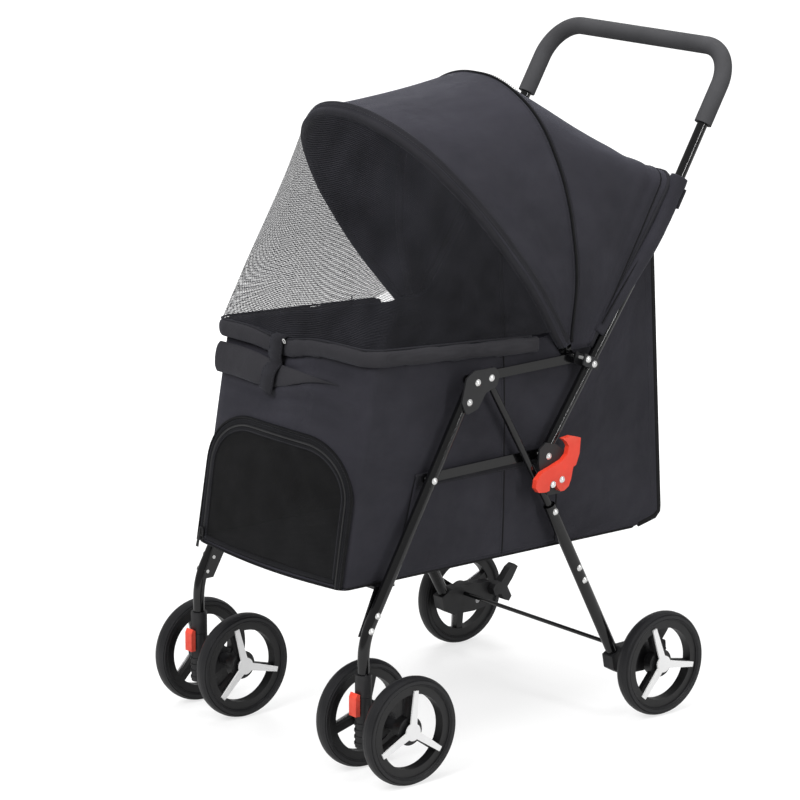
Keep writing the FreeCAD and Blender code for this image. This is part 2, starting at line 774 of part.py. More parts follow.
# The rear panel's back edge runs up just ahead of each handle tube and across between them.
tube_low = Vector(0, handle_low_y.value, handle_low_z.value)
tube_bend = Vector(0, handle_bend_y.value, handle_bend_z.value)
tube_top = Vector(0, handle_top_y.value, handle_top_z.value)
lower_way = (tube_bend - tube_low).normalize()
upper_way = (tube_top - tube_bend).normalize()
edge_off = handle_d.value / 2 + 4.5
edge_low = tube_low + lower_way * 200 + Vector(0, -lower_way.z, lower_way.y) * edge_off
edge_high = tube_bend + upper_way * 84 + Vector(0, -upper_way.z, upper_way.y) * edge_off
edge_way = (edge_high - edge_low).normalize()
edge_long = (edge_high - edge_low).Length
edge_flat = [Vector(frame_half.value, 0, 0), Vector(frame_half.value, edge_long, 0),
             Vector(-frame_half.value, edge_long, 0), Vector(-frame_half.value, 0, 0)]
edge_line = spaced(rounded_wire(edge_flat, [40, 40]).discretize(240), stations)
edge_ribbon = [edge_low + Vector(p.x, 0, 0) + edge_way * p.y for p in ribbon(edge_line, 0, cloth_t.value)]
rear_ribbon = bow_ribbon(mid_bow_len, mid_bow_tilt + 0.3, 46)
node(cloth("canopy_rear_panel", rear_ribbon, edge_ribbon), "canopy_rear_panel")

# ---------------------------------------------------------------- rear frame
strut_dir = Vector(0, joint_y.value - rear_pivot_y.value, joint_z.value - rear_pivot_z.value).normalize()
strut_top = Vector(0, rear_pivot_y.value, rear_pivot_z.value) - strut_dir * 7
strut_low = Vector(0, joint_y.value, joint_z.value) + strut_dir * 20
strut_points = [tuple(strut_top), tuple(strut_low)]
leg_way = Vector(0, foot_y.value - joint_y.value, foot_z.value - joint_z.value).normalize()
rear_top = Vector(0, joint_y.value, joint_z.value) - leg_way * 10
foot_top = Vector(0, foot_y.value, foot_z.value)
rear_pins = [(joint_y, joint_z)]
for step in (99, 121):
    spot = Vector(0, joint_y.value, joint_z.value) + leg_way * step
    rear_pins.append((quantity(spot.y), quantity(spot.z)))
struts = []
for side in (1, -1):
    shape = tube("strut_" + half_name(side), strut_points, [], strut_d, tube_wall,
                 [(rear_pivot_y, rear_pivot_z), (joint_y, joint_z)])
    place(shape, frame_half * side, 0, 0)
    struts.append(shape)
node(fuse("rear_struts", struts), "rear_struts")
for side in (1, -1):
    name = "rear_leg_" + half_name(side)
    shape = tube(name, [tuple(rear_top), tuple(foot_top)], [], rear_leg_d, tube_wall, rear_pins)
    node(shape, name, frame_half * side)

across = Vector(0, -leg_way.z, leg_way.y)
cap_a = foot_top - across * 11
cap_b = foot_top + across * 11
foot_outline = [
    (cap_a.y, cap_a.z),
    (cap_b.y, cap_b.z),
    (rear_axle_y - 8, wheel_r + 27),
    (brake_y + 6, brake_z + 9),
    (brake_y + 7, brake_z - 4),
    (rear_axle_y + 14, wheel_r - 12),
    (rear_axle_y - 8, wheel_r - 15),
    (foot_y + 12, wheel_r - 14),
    (foot_y - 6, wheel_r - 4),
]
for side in (1, -1):
    name = "rear_foot_" + half_name(side)
    outward = Vector(side, 0, 0)
    axle_hole = [(rear_axle_y, wheel_r, axle_bore)]
    block = plate(name + "_block", foot_outline, foot_w, axle_hole, (3, 4, 5, 6, 7, 8), 4)
    place(block, side_x(side, foot_in, foot_w), 0, 0)
    boss_r = axle_r + 3.5
    boss_long = rear_wheel_x - hub_in - 0.4 - foot_out + 1
    boss_in = (foot_out - 1) * side
    boss = cylinder(name + "_boss", boss_r, boss_long, boss_in, rear_axle_y, wheel_r, outward)
    bore_in = (foot_in - 5) * side
    bore = cylinder(name + "_bore", axle_bore, 60, bore_in, rear_axle_y, wheel_r, outward)
    stub_in = (foot_in + 1) * side
    stub = cylinder(name + "_stub", 3, pedal_w + 1.5, stub_in, brake_y, brake_z, -outward)
    body = cut(name + "_bored", fuse(name + "_solid", [block, boss, stub]), bore)
    node(body, name)
axles = []
for side in (1, -1):
    start = (foot_in + 1) * side
    length = rear_wheel_x + rim_out - 0.5 - (foot_in + 1)
    outward = Vector(side, 0, 0)
    name = "rear_axle_" + half_name(side)
    axles.append(cylinder(name, axle_r, length, start, rear_axle_y, wheel_r, outward))
node(fuse("rear_axles", axles), "rear_axles")
rod_half = foot_in - 0.2
node(cylinder("brake_cross_rod", rod_d / 2, rod_half * 2, -rod_half, rod_y, rod_z, Vector(1, 0, 0)),
     "brake_cross_rod", -rod_half, rod_y, rod_z, Rotation(Vector(0, 0, 1), Vector(1, 0, 0)))
rivets = []
leg_face = frame_half + rear_leg_d / 2
for side in (1, -1):
    for k, (y, z) in enumerate(rear_pins):
        name = "rear_rivet_" + half_name(side) + str(k)
        rivets.append(rivet(name, side, y, z, frame_half - rear_leg_d / 2, leg_face))
node(fuse("rear_rivets", rivets), "rear_rivets")

pedal_outline = [(brake_y - 8, brake_z + 3), (brake_y - 3, brake_z + 9), (brake_y + 8, brake_z + 11),
                 (brake_y + 24, brake_z + 30), (brake_y + 33, brake_z + 35), (brake_y + 40, brake_z + 30),
                 (brake_y + 30, brake_z + 14), (brake_y + 20, brake_z + 2), (brake_y + 28, brake_z - 14),
                 (brake_y + 23, brake_z - 21), (brake_y + 15, brake_z - 18), (brake_y + 8, brake_z - 8),
                 (brake_y - 4, brake_z - 8)]
for side in (1, -1):
    name = "brake_pedal_" + half_name(side)
    pedal = plate(name, pedal_outline, pedal_w, [(brake_y, brake_z, quantity(3) + running_gap)])
    node(pedal, name, side_x(side, foot_in - 0.4 - pedal_w, pedal_w))

# ---------------------------------------------------------------- links and handle


def link(name, y, z):
    """A flat bar between two pins; the far pin of the bar has a little more room."""
    half = link_w / 2
    run = link_run
    rise = link_rise
    points = [
        (y - half, z - 3),
        (y - 3, z - half),
        (y + run + 3, z + rise - half),
        (y + run + half, z + rise - 3),
        (y + run + half, z + rise + 3),
        (y + run + 3, z + rise + half),
        (y - 3, z + half),
        (y - half, z + 3),
    ]
    holes = [(y, z, hole_r), (y + run, z + rise, hole_r + 0.3)]
    bars = []
    for side in (1, -1):
        bar_side = plate(name + "_" + half_name(side), points, link_t, holes)
        place(bar_side, side_x(side, link_inner, link_t), 0, 0)
        bars.append(bar_side)
    return fuse(name, bars)


node(link("upper_links", upper_pivot_y, upper_pivot_z), "upper_links")
node(link("lower_links", lower_pivot_y, lower_pivot_z), "lower_links")

low = tube_low
bend = tube_bend
top = tube_top
low_end = low - lower_way * 9
lug_spot = low + lower_way * 143
half = frame_half.value
handle_points = [Vector(half, low_end.y, low_end.z), Vector(half, bend.y, bend.z), Vector(half, top.y, top.z)]
handle_points = handle_points + [Vector(-p.x, p.y, p.z) for p in reversed(handle_points)]
bends = [handle_bend_r.value, handle_corner_r.value, handle_corner_r.value, handle_bend_r.value]
handle_path = path_object("handle_path", rounded_wire(handle_points, bends))
outer = sweep("handle_outer", handle_path, handle_d)
inner = sweep("handle_inner", handle_path, handle_d - tube_wall * 2)
holes = []
for k, (y, z) in enumerate(((handle_low_y, handle_low_z), (quantity(lug_spot.y), quantity(lug_spot.z)))):
    holes.append(cylinder("handle_hole" + str(k), hole_r, 500, -250, y, z, Vector(1, 0, 0)))
node(cut("handle_tube", cut("handle_hollow", outer, inner), fuse("handle_holes", holes)), "handle_tube")

grip_end = Vector(half, grip_end_y.value, grip_end_z.value)
on_line = Vector(half, bend.y, bend.z) + upper_way * (grip_end - Vector(half, bend.y, bend.z)).dot(upper_way)
grip_points = [on_line, handle_points[2], handle_points[3], Vector(-on_line.x, on_line.y, on_line.z)]
grip_path = path_object("grip_path", rounded_wire(grip_points, [handle_corner_r.value] * 2))
grip_outer = sweep("grip_outer", grip_path, grip_d)
grip_inner = sweep("grip_inner", grip_path, handle_d + 0.3)
node(cut("handle_grip", grip_outer, grip_inner), "handle_grip")

lock_outline = [
    (-17, 12), (-6, 20), (13, 15), (35, -3), (33, -43),
    (21, -55), (-1, -55), (-11, -41), (-18, -8),
]
lock_outline = [(handle_low_y + y, handle_low_z + z) for y, z in lock_outline]
lock_holes = [(handle_low_y, handle_low_z, hole_r), (latch_y, latch_z, hole_r), (catch_y, catch_z, hole_r)]
lug_outline = [(handle_pivot_y - 10, handle_pivot_z - 6), (handle_pivot_y - 4, handle_pivot_z - 10),
               (lug_spot.y + 6, lug_spot.z - 9), (lug_spot.y + 10, lug_spot.z + 3),
               (lug_spot.y - 1, lug_spot.z + 10), (handle_pivot_y - 6, handle_pivot_z + 9)]
lug_holes = [(handle_pivot_y, handle_pivot_z, hole_r), (lug_spot.y, lug_spot.z, hole_r)]
lug_t = frame_half - handle_d / 2 - 0.2 - (link_inner + link_t + 0.3)
lug_out = frame_half + handle_d / 2 + 0.4
plates = []
for side in (1, -1):
    tag = half_name(side)
    lock = plate("lock_plate_" + tag, lock_outline, plate_t, lock_holes, (0, 1, 2, 3, 4, 5, 6, 7), 3)
    place(lock, side_x(side, lock_in, plate_t), 0, 0)
    inner_lug = plate("inner_lug_" + tag, lug_outline, lug_t, lug_holes)
    place(inner_lug, side_x(side, link_inner + link_t + 0.3, lug_t), 0, 0)
    outer_lug = plate("outer_lug_" + tag, lug_outline, quantity(2.5), lug_holes)
    place(outer_lug, side_x(side, lug_out, quantity(2.5)), 0, 0)
    plates = plates + [lock, inner_lug, outer_lug]
node(fuse("handle_brackets", plates), "handle_brackets")

rivets = []
for side in (1, -1):
    tag = "handle_rivet_" + half_name(side)
    lug_face = lug_out + 2.5
    rivets.append(rivet(tag + "_a", side, handle_pivot_y, handle_pivot_z, link_inner - 0.5, lug_face))
    rivets.append(rivet(tag + "_b", side, lug_spot.y, lug_spot.z, link_inner + link_t + 0.5, lug_face))
    rivets.append(rivet(tag + "_c", side, handle_low_y, handle_low_z, link_inner - 0.5, lock_in + plate_t))
    rivets.append(rivet(tag + "_d", side, latch_y, latch_z, lock_in - 0.5, latch_in + latch_t))
    rivets.append(rivet(tag + "_e", side, catch_y, catch_z, lock_in - 0.5, latch_in + latch_t))
node(fuse("handle_rivets", rivets), "handle_rivets")

# Latch outline about its pivot, clockwise from the thumb tab; the notch clears the catch pin.
latch_shape = [
    (1, 57), (16, 59), (33, 54), (31, 32), (25, 17), (20, 15), (16, -2), (12, -11), (4, -16),
    (-3, -16), (-8, -10.5), (-10.5, -6), (-12, -1), (-16, 1), (-20, -1), (-22, -5), (-22.5, -12),
    (-29, -13.5), (-42, -12), (-47.5, -5), (-46, 6), (-36, 15), (-18, 20.5), (1, 27), (9, 34),
    (11.5, 45), (8, 51),
]
for side in (1, -1):
    name = "latch_" + half_name(side)
    outline = [(latch_y + y, latch_z + z) for y, z in latch_shape]
    body = plate(name, outline, latch_t, [(latch_y, latch_z, hole_r)])
    node(body, name, side_x(side, latch_in, latch_t))

# ---------------------------------------------------------------- casters
for side in (1, -1):
    name = "caster_fork_" + half_name(side)
    x = frame_half * side
    up = Vector(0, 0, 1)
    housing = cylinder(name + "_housing", housing_r, swivel_z - 48, x, kingpin_y, 48, up)
    kingpin = cylinder(name + "_kingpin", kingpin_r, leg_seat - swivel_z - 2, x, kingpin_y, swivel_z - 1, up)
    axle_y = kingpin_y + caster_trail
    arm_points = [(kingpin_y, 112), (kingpin_y + 16, 110), (axle_y + 8, wheel_r + 12), (axle_y + 12, wheel_r),
                  (axle_y + 6, wheel_r - 11), (kingpin_y + 14, 50), (kingpin_y, 50)]
    arm = plate(name + "_arm", arm_points, 14)
    place(arm, x - 7, 0, 0)
    boss_half = twin_half - hub_in - 0.4
    boss_r = axle_r + 3.5
    boss = cylinder(name + "_boss", boss_r, boss_half * 2, x - boss_half, axle_y, wheel_r, Vector(1, 0, 0))
    pin_half = twin_half + rim_out - 0.5
    pin = cylinder(name + "_axle", axle_r, pin_half * 2, x - pin_half, axle_y, wheel_r, Vector(1, 0, 0))
    ribs = []
    for k in range(4):
        low = quantity(52 + 9 * k)
        ribs.append(cylinder(name + "_rib" + str(k), housing_r + 1.2, 3, x, kingpin_y, low, up))
    node(fuse(name, [housing, kingpin, arm, boss, pin] + ribs), name)

lever_outline = [(-7, 0), (0, 0), (0, 30), (-4, 32), (-7, 26)]
for side in (1, -1):
    name = "swivel_lock_" + half_name(side)
    seat = kingpin_y - housing_r - loose_gap
    outline = [(seat + y, swivel_z - 24 + z) for y, z in lever_outline]
    node(plate(name, outline, 15), name, frame_half * side - 7.5)

# ---------------------------------------------------------------- wheels


def tyre(name):
    """A tyre turned about its own Z axis: rounded tread with ring grooves at each shoulder."""
    half_w = tyre_w / 2
    profile = [
        (rim_r, -half_w + 3),
        (rim_r + 3, -half_w),
        (wheel_r - 5, -half_w),
        (wheel_r - 4, -half_w + 1.6),
        (wheel_r - 3, -half_w + 1.2),
        (wheel_r - 0.8, -half_w + 5.2),
        (wheel_r, -half_w + 8.6),
        (wheel_r, half_w - 8.6),
        (wheel_r - 0.8, half_w - 5.2),
        (wheel_r - 3, half_w - 1.2),
        (wheel_r - 4, half_w - 1.6),
        (wheel_r - 5, half_w),
        (rim_r + 3, half_w),
        (rim_r, half_w - 3),
    ]
    body = doc.addObject("PartDesign::Body", name)
    sketch = polygon_sketch(body, name + "_profile", "XZ_Plane", profile)
    turned = body.newObject("PartDesign::Revolution", name + "_turned")
    turned.Profile = sketch
    turned.ReferenceAxis = (origin_plane(body, "Z_Axis"), [""])
    turned.Angle = 360
    return body


def rim(name):
    """A deep ring, a hub with a bore, and three spokes between them."""
    up = Vector(0, 0, 1)
    ring = cylinder(name + "_ring", rim_r - 0.05, rim_in + rim_out, 0, 0, -rim_in, up)
    hollow = cylinder(name + "_hollow", rim_open_r, 60, 0, 0, -30, up)
    pieces = [cut(name + "_hoop", ring, hollow)]
    pieces.append(cylinder(name + "_hub", hub_r, hub_in + 2, 0, 0, -hub_in, up))
    pieces.append(cylinder(name + "_nose", cover_hub_r - 1, rim_out, 0, 0, 0, up))
    width = quantity(11)
    for k in range(3):
        c = math.cos(math.radians(90 + 120 * k))
        s = math.sin(math.radians(90 + 120 * k))
        spoke = doc.addObject("Part::Box", name + "_spoke" + str(k))
        bind(spoke, "Length", rim_open_r - hub_r + 6)
        bind(spoke, "Width", width)
        bind(spoke, "Height", 8)
        near = hub_r - 3
        turn = Rotation(up, 90 + 120 * k)
        place(spoke, near * c + width * (s / 2), near * s - width * (c / 2), -6, turn)
        pieces.append(spoke)
    bore = cylinder(name + "_bore", axle_bore, 60, 0, 0, -30, up)
    return cut(name, fuse(name + "_solid", pieces), bore)


def cover(name):
    """A flat hub cap with three tapering spokes that end on the ring's face."""
    body = doc.addObject("PartDesign::Body", name)
    disc = body.newObject("Sketcher::SketchObject", name + "_disc")
    disc.AttachmentSupport = [(origin_plane(body, "XY_Plane"), "")]
    disc.MapMode = "FlatFace"
    disc.addGeometry(Part.Circle(Vector(0, 0, 0), Vector(0, 0, 1), cover_hub_r.value), False)
    disc.addConstraint(Sketcher.Constraint("Coincident", 0, 3, -1, 1))
    index = disc.addConstraint(Sketcher.Constraint("Radius", 0, cover_hub_r.value))
    disc.renameConstraint(index, "disc_r")
    bind(disc, "Constraints.disc_r", cover_hub_r)
    pad(body, disc, cover_t, name + "_disc_pad")
    points = [(-5.5, 6), (5.5, 6), (3.6, cover_reach), (-3.6, cover_reach)]
    arm = polygon_sketch(body, name + "_arm", "XY_Plane", points)
    arm_pad = pad(body, arm, cover_t, name + "_arm_pad")
    doc.recompute()
    star = body.newObject("PartDesign::PolarPattern", name + "_star")
    star.Originals = [arm_pad]
    star.Axis = (origin_plane(body, "Z_Axis"), [""])
    star.Angle = 360
    star.Occurrences = 3
    body.Tip = star
    return body


def wheel(label, x, y, outward, spin):
    """One wheel at a place; its cover faces the outward side and a spoke points spin degrees above +Y."""
    turn = Rotation(Vector(0, 1, 0), 90 * outward) * Rotation(Vector(0, 0, 1), spin * outward)
    node(tyre("tyre_" + label), "tyre_" + label, x, y, wheel_r, turn)
    node(rim("rim_" + label), "rim_" + label, x, y, wheel_r, turn)
    face = quantity(x) + rim_out * outward
    node(cover("spokes_" + label), "spokes_" + label, face, y, wheel_r, turn)


# The wheels stand as they happened to stop, each with its spokes at its own angle.
stopped_at = {
    "front_right_outer": -35, "front_right_inner": -45, "front_left_outer": -15,
    "front_left_inner": -15, "rear_right": -11, "rear_left": 25,
}
for side in (1, -1):
    for outward, place_name in ((1, "outer"), (-1, "inner")):
        label = "front_" + half_name(side) + "_" + place_name
        facing = outward * side
        x = frame_half * side + twin_half * facing
        wheel(label, x, kingpin_y + caster_trail, facing, stopped_at[label])
    label = "rear_" + half_name(side)
    wheel(label, rear_wheel_x * side, rear_axle_y, side, stopped_at[label])

# ---------------------------------------------------------------- checks and files
doc.recompute()
for obj in doc.Objects:
    if "Invalid" in obj.State or "Error" in obj.State:
        raise RuntimeError("failed object: " + obj.Label)
labels = [obj.Label for obj in nodes]
if len(set(labels)) != len(labels) or len(labels) > 60:
    raise RuntimeError("names: " + str(len(labels)))
for obj in nodes:
    if obj.Shape.isNull() or not obj.Shape.isValid() or not obj.Shape.Solids:
        raise RuntimeError("bad shape: " + obj.Label)
os.makedirs("parts", exist_ok=True)
for obj in nodes:
    obj.Shape.exportStep("parts/" + obj.Label + ".step")
box = FreeCAD.BoundBox()
for obj in nodes:
    box.add(obj.Shape.BoundBox)
ends = (box.XMin, box.XMax, box.YMin, box.YMax, box.ZMin, box.ZMax)
print(len(nodes), "pieces; box", [round(v, 2) for v in ends])
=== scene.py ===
"""Looks of the folding pet stroller: fabric cabin, hood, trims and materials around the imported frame.

Metres, in the frame's own axes: the front faces -Y, Z is up, +X is the right half.
A fabric skin is written as a function of its place on a panel, so that tapes, seams and
stitches laid on it follow its folds.
"""
import math

import bpy
import numpy as np
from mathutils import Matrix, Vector, noise
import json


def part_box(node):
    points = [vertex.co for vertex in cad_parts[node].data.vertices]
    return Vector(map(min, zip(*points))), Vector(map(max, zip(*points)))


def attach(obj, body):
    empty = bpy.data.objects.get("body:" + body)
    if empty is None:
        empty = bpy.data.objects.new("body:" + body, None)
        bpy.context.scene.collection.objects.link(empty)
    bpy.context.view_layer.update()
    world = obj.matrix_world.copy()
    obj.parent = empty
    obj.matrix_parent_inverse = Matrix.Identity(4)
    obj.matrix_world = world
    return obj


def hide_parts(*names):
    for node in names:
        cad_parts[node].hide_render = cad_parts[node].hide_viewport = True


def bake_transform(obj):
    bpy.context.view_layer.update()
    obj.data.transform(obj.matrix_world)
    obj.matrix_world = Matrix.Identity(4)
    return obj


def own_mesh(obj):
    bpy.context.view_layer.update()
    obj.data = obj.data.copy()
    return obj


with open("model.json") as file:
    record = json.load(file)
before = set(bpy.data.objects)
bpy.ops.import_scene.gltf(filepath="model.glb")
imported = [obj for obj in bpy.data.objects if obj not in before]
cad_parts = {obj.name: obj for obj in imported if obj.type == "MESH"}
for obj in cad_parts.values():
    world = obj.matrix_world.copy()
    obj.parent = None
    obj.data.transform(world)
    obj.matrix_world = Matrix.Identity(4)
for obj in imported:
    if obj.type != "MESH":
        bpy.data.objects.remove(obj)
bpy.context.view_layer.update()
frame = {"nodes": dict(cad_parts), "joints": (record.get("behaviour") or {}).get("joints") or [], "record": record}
joints = {j["name"]: j for j in frame["joints"]}
scene = bpy.context.scene


# ------------------------ materials
def feed(tree, node, inputs):
    """Gives a node's inputs their values or links."""
    for key, value in inputs.items():
        if isinstance(value, bpy.types.NodeSocket):
            tree.links.new(value, node.inputs[key])
        else:
            node.inputs[key].default_value = value


def add(tree, kind, inputs=None, **settings):
    """A shader node with its settings, values and links."""
    made = tree.nodes.new(kind)
    for key, value in settings.items():
        setattr(made, key, value)
    feed(tree, made, inputs or {})
    return made


def remap(tree, value, span, to, **settings):
    """A value spread from one span over another."""
    inputs = {"Value": value, "From Min": span[0], "From Max": span[1], "To Min": to[0], "To Max": to[1]}
    return add(tree, "ShaderNodeMapRange", inputs, **settings).outputs["Result"]


def product(tree, first, second):
    return add(tree, "ShaderNodeMath", {0: first, 1: second}, operation="MULTIPLY").outputs[0]


def blotches(tree, place, scale, low, high):
    """Noise spread over low to high."""
    cloud = add(tree, "ShaderNodeTexNoise", {"Vector": place, "Scale": scale, "Detail": 4.0})
    return remap(tree, cloud.outputs["Fac"], (0.3, 0.7), (low, high))


def between(tree, share, first, second):
    """A mix of two colours, each a socket or three numbers."""
    colours = {"Factor": share}
    for socket, colour in ((6, first), (7, second)):
        colours[socket] = colour if isinstance(colour, bpy.types.NodeSocket) else (*colour, 1)
    return add(tree, "ShaderNodeMix", colours, data_type="RGBA").outputs[2]


def shade(colour, share):
    return [c * share for c in colour]


def drift(tree, place, scale, colour, dark, light):
    """The colour in soft patches, from dark to light times its own value."""
    return between(tree, blotches(tree, place, scale, 0.0, 1.0), shade(colour, dark), shade(colour, light))


def rubbed(tree, place, tint, wear, edge, scale, least):
    """The tint with another colour in patches on its sharp edges."""
    sharp = remap(tree, add(tree, "ShaderNodeNewGeometry").outputs["Pointiness"], edge, (0.0, 1.0))
    return between(tree, product(tree, sharp, blotches(tree, place, scale, least, 0.8)), tint, wear)


def bump(tree, height, depth, strength, before=None):
    inputs = {"Height": height, "Distance": depth, "Strength": strength}
    if before is not None:
        inputs["Normal"] = before
    return add(tree, "ShaderNodeBump", inputs).outputs["Normal"]


def grain(tree, place, scale, detail, depth, strength, twist=0.0):
    """An uneven surface."""
    inputs = {"Vector": place, "Scale": scale, "Detail": detail, "Distortion": twist}
    return bump(tree, add(tree, "ShaderNodeTexNoise", inputs).outputs["Fac"], depth, strength)


def bands(tree, place, direction, pitch):
    """Parallel ridges a pitch apart."""
    pitch_at_scale_1 = 0.31416
    inputs = {"Vector": place, "Scale": pitch_at_scale_1 / pitch, "Distortion": 0.0}
    return add(tree, "ShaderNodeTexWave", inputs,
               bands_direction=direction, wave_profile="SIN").outputs["Fac"]


def start_material(name, mapped=False):
    material = bpy.data.materials.new(name)
    material.use_nodes = True
    tree = material.node_tree
    place = add(tree, "ShaderNodeTexCoord").outputs["UV" if mapped else "Object"]
    return material, tree, tree.nodes["Principled BSDF"], place


def fabric(name, colour, pitch, mapped, sheen=0.08, rough=0.78):
    """Woven polyester: crossing threads, painted shade between them, faint slubs, soft sheen and shallow creases.
    """
    material, tree, shader, place = start_material(name, mapped)
    tint = drift(tree, place, 9.0, colour, 0.78, 1.25)
    warp = bands(tree, place, "X", pitch)
    weft = bands(tree, place, "Y" if mapped else "Z", pitch)
    weave = add(tree, "ShaderNodeMath", {0: warp, 1: weft}, operation="MAXIMUM").outputs[0]
    # Painted shade: the colour darkens in the gaps between the threads.
    painted_gap_shade = remap(tree, weave, (0.0, 1.0), (0.35, 0.0))
    crease = grain(tree, place, 14.0, 5.0, 0.012, 0.22, 0.6)
    feed(tree, shader, {
        "Base Color": between(tree, painted_gap_shade, tint, shade(colour, 0.45)),
        "Roughness": blotches(tree, place, 40.0, rough - 0.08, rough + 0.1),
        "Normal": bump(tree, weave, 0.00025, 0.5, crease),
        "Sheen Weight": sheen, "Sheen Roughness": 0.45, "Sheen Tint": (0.72, 0.74, 0.9, 1),
        "Specular IOR Level": 0.2,
    })
    return material


def netting(name, colour, pitch, hole):
    """Knitted net: round holes in rows, with a raised thread between them."""
    material, tree, shader, place = start_material(name, True)
    cells = add(tree, "ShaderNodeTexVoronoi", {"Vector": place, "Scale": 1 / pitch, "Randomness": 0.12},
                voronoi_dimensions="2D").outputs["Distance"]
    solid = remap(tree, cells, (hole - 0.04, hole + 0.04), (0.0, 1.0), interpolation_type="SMOOTHSTEP")
    feed(tree, shader, {
        "Base Color": drift(tree, place, 30.0, colour, 0.7, 1.3), "Alpha": solid,
        "Roughness": blotches(tree, place, 60.0, 0.6, 0.8),
        "Normal": bump(tree, cells, 0.0004, 0.6),
        "Sheen Weight": 0.03, "Specular IOR Level": 0.15,
    })
    return material


def lacquer(name, colour, rough, coat, metal=0.0, wear=(0.03, 0.03, 0.032), peel=0.00008):
    """Painted or polished tube: faint orange peel, hazy patches and rubbed edges."""
    material, tree, shader, place = start_material(name)
    tint = drift(tree, place, 24.0, colour, 0.8, 1.2)
    feed(tree, shader, {
        "Base Color": rubbed(tree, place, tint, wear, (0.62, 0.80), 160.0, 0.0),
        "Roughness": blotches(tree, place, 35.0, rough * 0.75, rough * 1.35),
        "Normal": grain(tree, place, 420.0, 2.0, peel, 0.3),
        "Metallic": metal, "Coat Weight": coat, "Coat Roughness": 0.08,
        "Specular IOR Level": 0.35,
    })
    return material


def moulded(name, colour, rough, spark=900.0, depth=0.0002, spread=0.18, wear=None, specular=0.5):
    """Moulded plastic or rubber: fine spark grain, slight colour drift, paler edges."""
    material, tree, shader, place = start_material(name)
    tint = drift(tree, place, 18.0, colour, 1 - spread, 1 + spread)
    wear = wear or [min(1.0, c * 1.7 + 0.01) for c in colour]
    feed(tree, shader, {
        "Base Color": rubbed(tree, place, tint, wear, (0.60, 0.78), 110.0, 0.1),
        "Roughness": blotches(tree, place, 70.0, rough * 0.85, rough * 1.15),
        "Normal": grain(tree, place, spark, 3.0, depth, 0.5),
        "Specular IOR Level": specular,
    })
    return material


CHARCOAL = (0.0245, 0.0238, 0.0300)
canopy_cloth = fabric("canopy_cloth", CHARCOAL, 0.0008, True)
bag_cloth = fabric("bag_cloth", CHARCOAL, 0.0008, True)
roll_cloth = fabric("roll_cloth", (0.0270, 0.0262, 0.0295), 0.0008, False)
binding_cloth = fabric("binding_cloth", (0.0165, 0.0162, 0.0190), 0.0006, False, sheen=0.06)
piping_cloth = fabric("piping_cloth", (0.0050, 0.0050, 0.0056), 0.0006, False, sheen=0.02, rough=0.6)
door_edging = fabric("door_edging", (0.0080, 0.0080, 0.0090), 0.0008, False, sheen=0.04)
thread = fabric("thread", (0.034, 0.034, 0.039), 0.0004, False, sheen=0.1)
hood_net = netting("hood_net", (0.020, 0.020, 0.024), 0.0016, 0.39)
door_net = netting("door_net", (0.0085, 0.0085, 0.0090), 0.0014, 0.30)
zip_plastic = moulded("zip_plastic", (0.012, 0.012, 0.013), 0.4)

finishes = {
    "frame_tube": lacquer("tube_paint", (0.0028, 0.0028, 0.0031), 0.13, 0.45),
    "black_plastic": moulded("black_moulding", (0.011, 0.011, 0.012), 0.45),
    "rivet_metal": lacquer("rivet_nickel", (0.86, 0.86, 0.85), 0.22, 0.0, 0.7, (0.7, 0.7, 0.68), 0.00005),
    "axle_steel": lacquer("axle_steel", (0.42, 0.42, 0.43), 0.3, 0.0, 1.0, (0.3, 0.3, 0.3)),
    "red_plastic": moulded("red_moulding", (0.72, 0.045, 0.022), 0.38, wear=(0.86, 0.16, 0.10)),
    "foam_grip": moulded("grip_foam", (0.052, 0.052, 0.055), 0.92, 1500.0, 0.0006, 0.12, specular=0.2),
    "floor_board": fabric("board_cloth", (0.018, 0.018, 0.020), 0.0010, False),
    "fabric_black": roll_cloth,
    "mesh_black": door_net,
    "tyre": moulded("tyre_foam", (0.0120, 0.0120, 0.0132), 0.42, 700.0, 0.00025, 0.1, specular=0.42),
    "rim_plastic": moulded("rim_moulding", (0.0075, 0.0075, 0.008), 0.4, 1100.0, 0.00012),
    "white_plastic": moulded("white_moulding", (0.82, 0.82, 0.82), 0.35, 800.0, 0.0001, 0.03,
                             wear=(0.9, 0.9, 0.9)),
}
for part in frame["record"]["subparts"]:
    for slot in frame["nodes"][part["node"]].material_slots:
        slot.material = finishes[part["material_slot"]]


# ------------------------ shape tools
def soften(mesh):
    mesh.polygons.foreach_set("use_smooth", [True] * len(mesh.polygons))


def piece(name, points, faces, material, body=None, mapping=None):
    """A mesh piece, ridden on a body when one is named. mapping gives (u, v) in metres for each vertex."""
    mesh = bpy.data.meshes.new(name)
    mesh.from_pydata([tuple(map(float, p)) for p in points], [], faces)
    mesh.validate()
    if mapping is not None:
        layer = mesh.uv_layers.new(name="cloth")
        flat = np.array([mapping[loop.vertex_index] for loop in mesh.loops], np.float32)
        layer.data.foreach_set("uv", flat.ravel())
    soften(mesh)
    mesh.materials.append(material)
    obj = bpy.data.objects.new(name, mesh)
    scene.collection.objects.link(obj)
    if body:
        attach(obj, body)
    return obj


def apply_modifiers(obj):
    """Replaces the mesh by what its modifiers make of it."""
    made = bpy.data.meshes.new_from_object(obj.evaluated_get(bpy.context.evaluated_depsgraph_get()))
    obj.modifiers.clear()
    obj.data = made
    return obj


def grid_faces(rows, columns, closed=False, keep=None):
    faces = []
    for i in range(rows - 1):
        for j in range(columns if closed else columns - 1):
            k = (j + 1) % columns
            if keep is None or keep(i, j):
                faces.append((i * columns + j, i * columns + k, (i + 1) * columns + k, (i + 1) * columns + j))
    return faces


def lengths(line):
    """Distance run along a line at each of its points."""
    steps = np.linalg.norm(np.diff(line, axis=0), axis=1)
    return np.concatenate([[0.0], np.cumsum(steps)])


